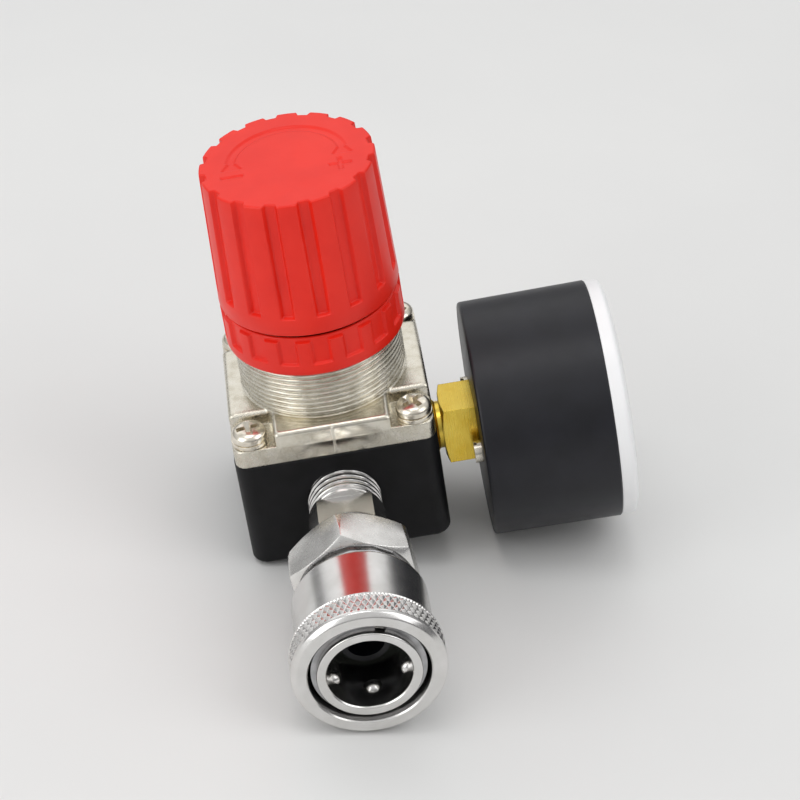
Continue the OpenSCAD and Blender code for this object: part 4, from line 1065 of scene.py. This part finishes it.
def wedge_mesh(name, turn, half):
    """Slice of the diaphragm, half an angle to each side of turn, with rows of points from the plate's edge
    out to the chamber's edge.
    """
    bend = [DISC_R + (CHAMBER_R - DISC_R) * k / BEND_STEPS for k in range(BEND_STEPS + 1)]
    radii = [DIAPHRAGM_HOLE] + bend + [DIAPHRAGM_R]
    row = WEDGE_STEPS + 1
    layer = row * len(radii)
    points = []
    for z in (DIAPHRAGM_LOW.z, DIAPHRAGM_HIGH.z):
        for r in radii:
            for k in range(row):
                angle = turn + half * (2 * k / WEDGE_STEPS - 1)
                points.append(Vector((r * math.cos(angle), r * math.sin(angle), z)) * MM)
    faces = []
    for i in range(len(radii) - 1):
        for k in range(WEDGE_STEPS):
            a = i * row + k
            faces.append((a, a + 1, a + row + 1, a + row))
            faces.append((a + layer, a + layer + row, a + layer + row + 1, a + layer + 1))
        a, b = i * row, i * row + WEDGE_STEPS
        faces.append((a, a + row, a + row + layer, a + layer))
        faces.append((b, b + layer, b + row + layer, b + row))
    for k in range(WEDGE_STEPS):
        a, b = k, layer - row + k
        faces.append((a, a + layer, a + layer + 1, a + 1))
        faces.append((b, b + 1, b + 1 + layer, b + layer))
    mesh = bpy.data.meshes.new(name)
    mesh.from_pydata(points, [], faces)
    mesh.validate()
    mesh.materials.append(frame["nodes"]["diaphragm"].data.materials[0])
    return mesh


for number in range(WEDGES):
    turn, half = TAU * number / WEDGES, TAU / WEDGES / 2
    name = "diaphragm_wedge_%02d" % (number + 1)
    wedge = bpy.data.objects.new(name, wedge_mesh(name, turn, half))
    bpy.context.scene.collection.objects.link(wedge)
    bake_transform(wedge)
    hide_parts("diaphragm")

# Camera at the photograph's viewing angle
FOCAL_PIXELS = 2853.3
IMAGE_SIDE = 800
SENSOR = 36.0
CAMERA_AT = Vector((8.209, -419.664, 326.95)) * MM
CAMERA_RIGHT = Vector((0.98652, -0.10373, -0.12656))
CAMERA_DOWN = Vector((-0.16341, -0.58347, -0.79553))
camera_data = bpy.data.cameras.new("camera")
camera_data.sensor_width = SENSOR
camera_data.lens = SENSOR * FOCAL_PIXELS / IMAGE_SIDE
camera_data.clip_start = 0.01
camera_data.clip_end = 50
camera = bpy.data.objects.new("camera", camera_data)
bpy.context.scene.collection.objects.link(camera)
view_back = -CAMERA_RIGHT.cross(CAMERA_DOWN)
camera.matrix_world = Matrix.Translation(CAMERA_AT) @ Matrix(
    (CAMERA_RIGHT, -CAMERA_DOWN, view_back)).transposed().to_4x4()
bpy.context.scene.camera = camera

# Floor: the object lies on its gauge's rim, the sleeve and the body's front left edge
FLOOR_NORMAL = Vector((0.2128, 0.0478, 1)).normalized()
FLOOR_AT = min(FLOOR_NORMAL.dot(node.matrix_world @ vertex.co)
               for node in frame["nodes"].values() for vertex in node.data.vertices)
FLOOR_SIDE = 6.0
floor_mesh = bpy.data.meshes.new("floor")
edge = FLOOR_SIDE / 2
floor_corners = [(-edge, -edge, 0), (edge, -edge, 0), (edge, edge, 0), (-edge, edge, 0)]
floor_mesh.from_pydata(floor_corners, [], [(0, 1, 2, 3)])
floor = bpy.data.objects.new("floor", floor_mesh)
bpy.context.scene.collection.objects.link(floor)
floor_tilt = FLOOR_NORMAL.to_track_quat("Z", "Y").to_matrix().to_4x4()
floor.matrix_world = Matrix.Translation(FLOOR_NORMAL * FLOOR_AT) @ floor_tilt
floor_material = finish_material("floor_paper", (0.745, 0.745, 0.74), (0.77, 0.77, 0.762), (0.55, 0.7),
                                 patch=0.01, grain=0.8, grain_depth=0.02)
floor_mesh.materials.append(floor_material)


# Light: soft lamps at both sides, behind and overhead, and a pale surround
def soft_lamp(name, at, look, size, watts):
    data = bpy.data.lights.new(name, "AREA")
    data.shape = "RECTANGLE"
    data.size, data.size_y = size
    data.energy = watts
    lamp = bpy.data.objects.new(name, data)
    lamp.location = at
    lamp.rotation_euler = (Vector(at) - Vector(look)).to_track_quat("Z", "Y").to_euler()
    bpy.context.scene.collection.objects.link(lamp)


TARGET = (0.015, -0.01, 0.02)
soft_lamp("left_lamp", (-0.85, -0.55, 0.70), TARGET, (0.8, 0.9), 4.2)
soft_lamp("right_lamp", (0.90, -0.45, 0.70), TARGET, (0.8, 0.9), 3.4)
soft_lamp("back_lamp", (0.0, 0.9, 0.75), TARGET, (1.6, 0.9), 2.4)
soft_lamp("top_lamp", (0.0, -0.1, 1.1), TARGET, (0.55, 0.35), 1.4)

world = bpy.data.worlds.new("surround")
bpy.context.scene.world = world
world.use_nodes = True
world_nodes, world_links = world.node_tree.nodes, world.node_tree.links
coordinates = world_nodes.new("ShaderNodeTexCoord")
split = world_nodes.new("ShaderNodeSeparateXYZ")
world_links.new(coordinates.outputs["Generated"], split.inputs["Vector"])
sky = ramp_node(world_nodes, world_links, range_node(world_nodes, world_links, split.outputs["Z"], 0.5, 1.0),
                [(0.5, (0.22, 0.22, 0.23)), (0.62, (0.45, 0.45, 0.45)), (0.80, (0.80, 0.80, 0.80)),
                 (0.95, (0.95, 0.95, 0.95))])
background = world_nodes["Background"]
world_links.new(sky, background.inputs["Color"])
background.inputs["Strength"].default_value = 0.80

bpy.context.scene.view_settings.view_transform = "Standard"
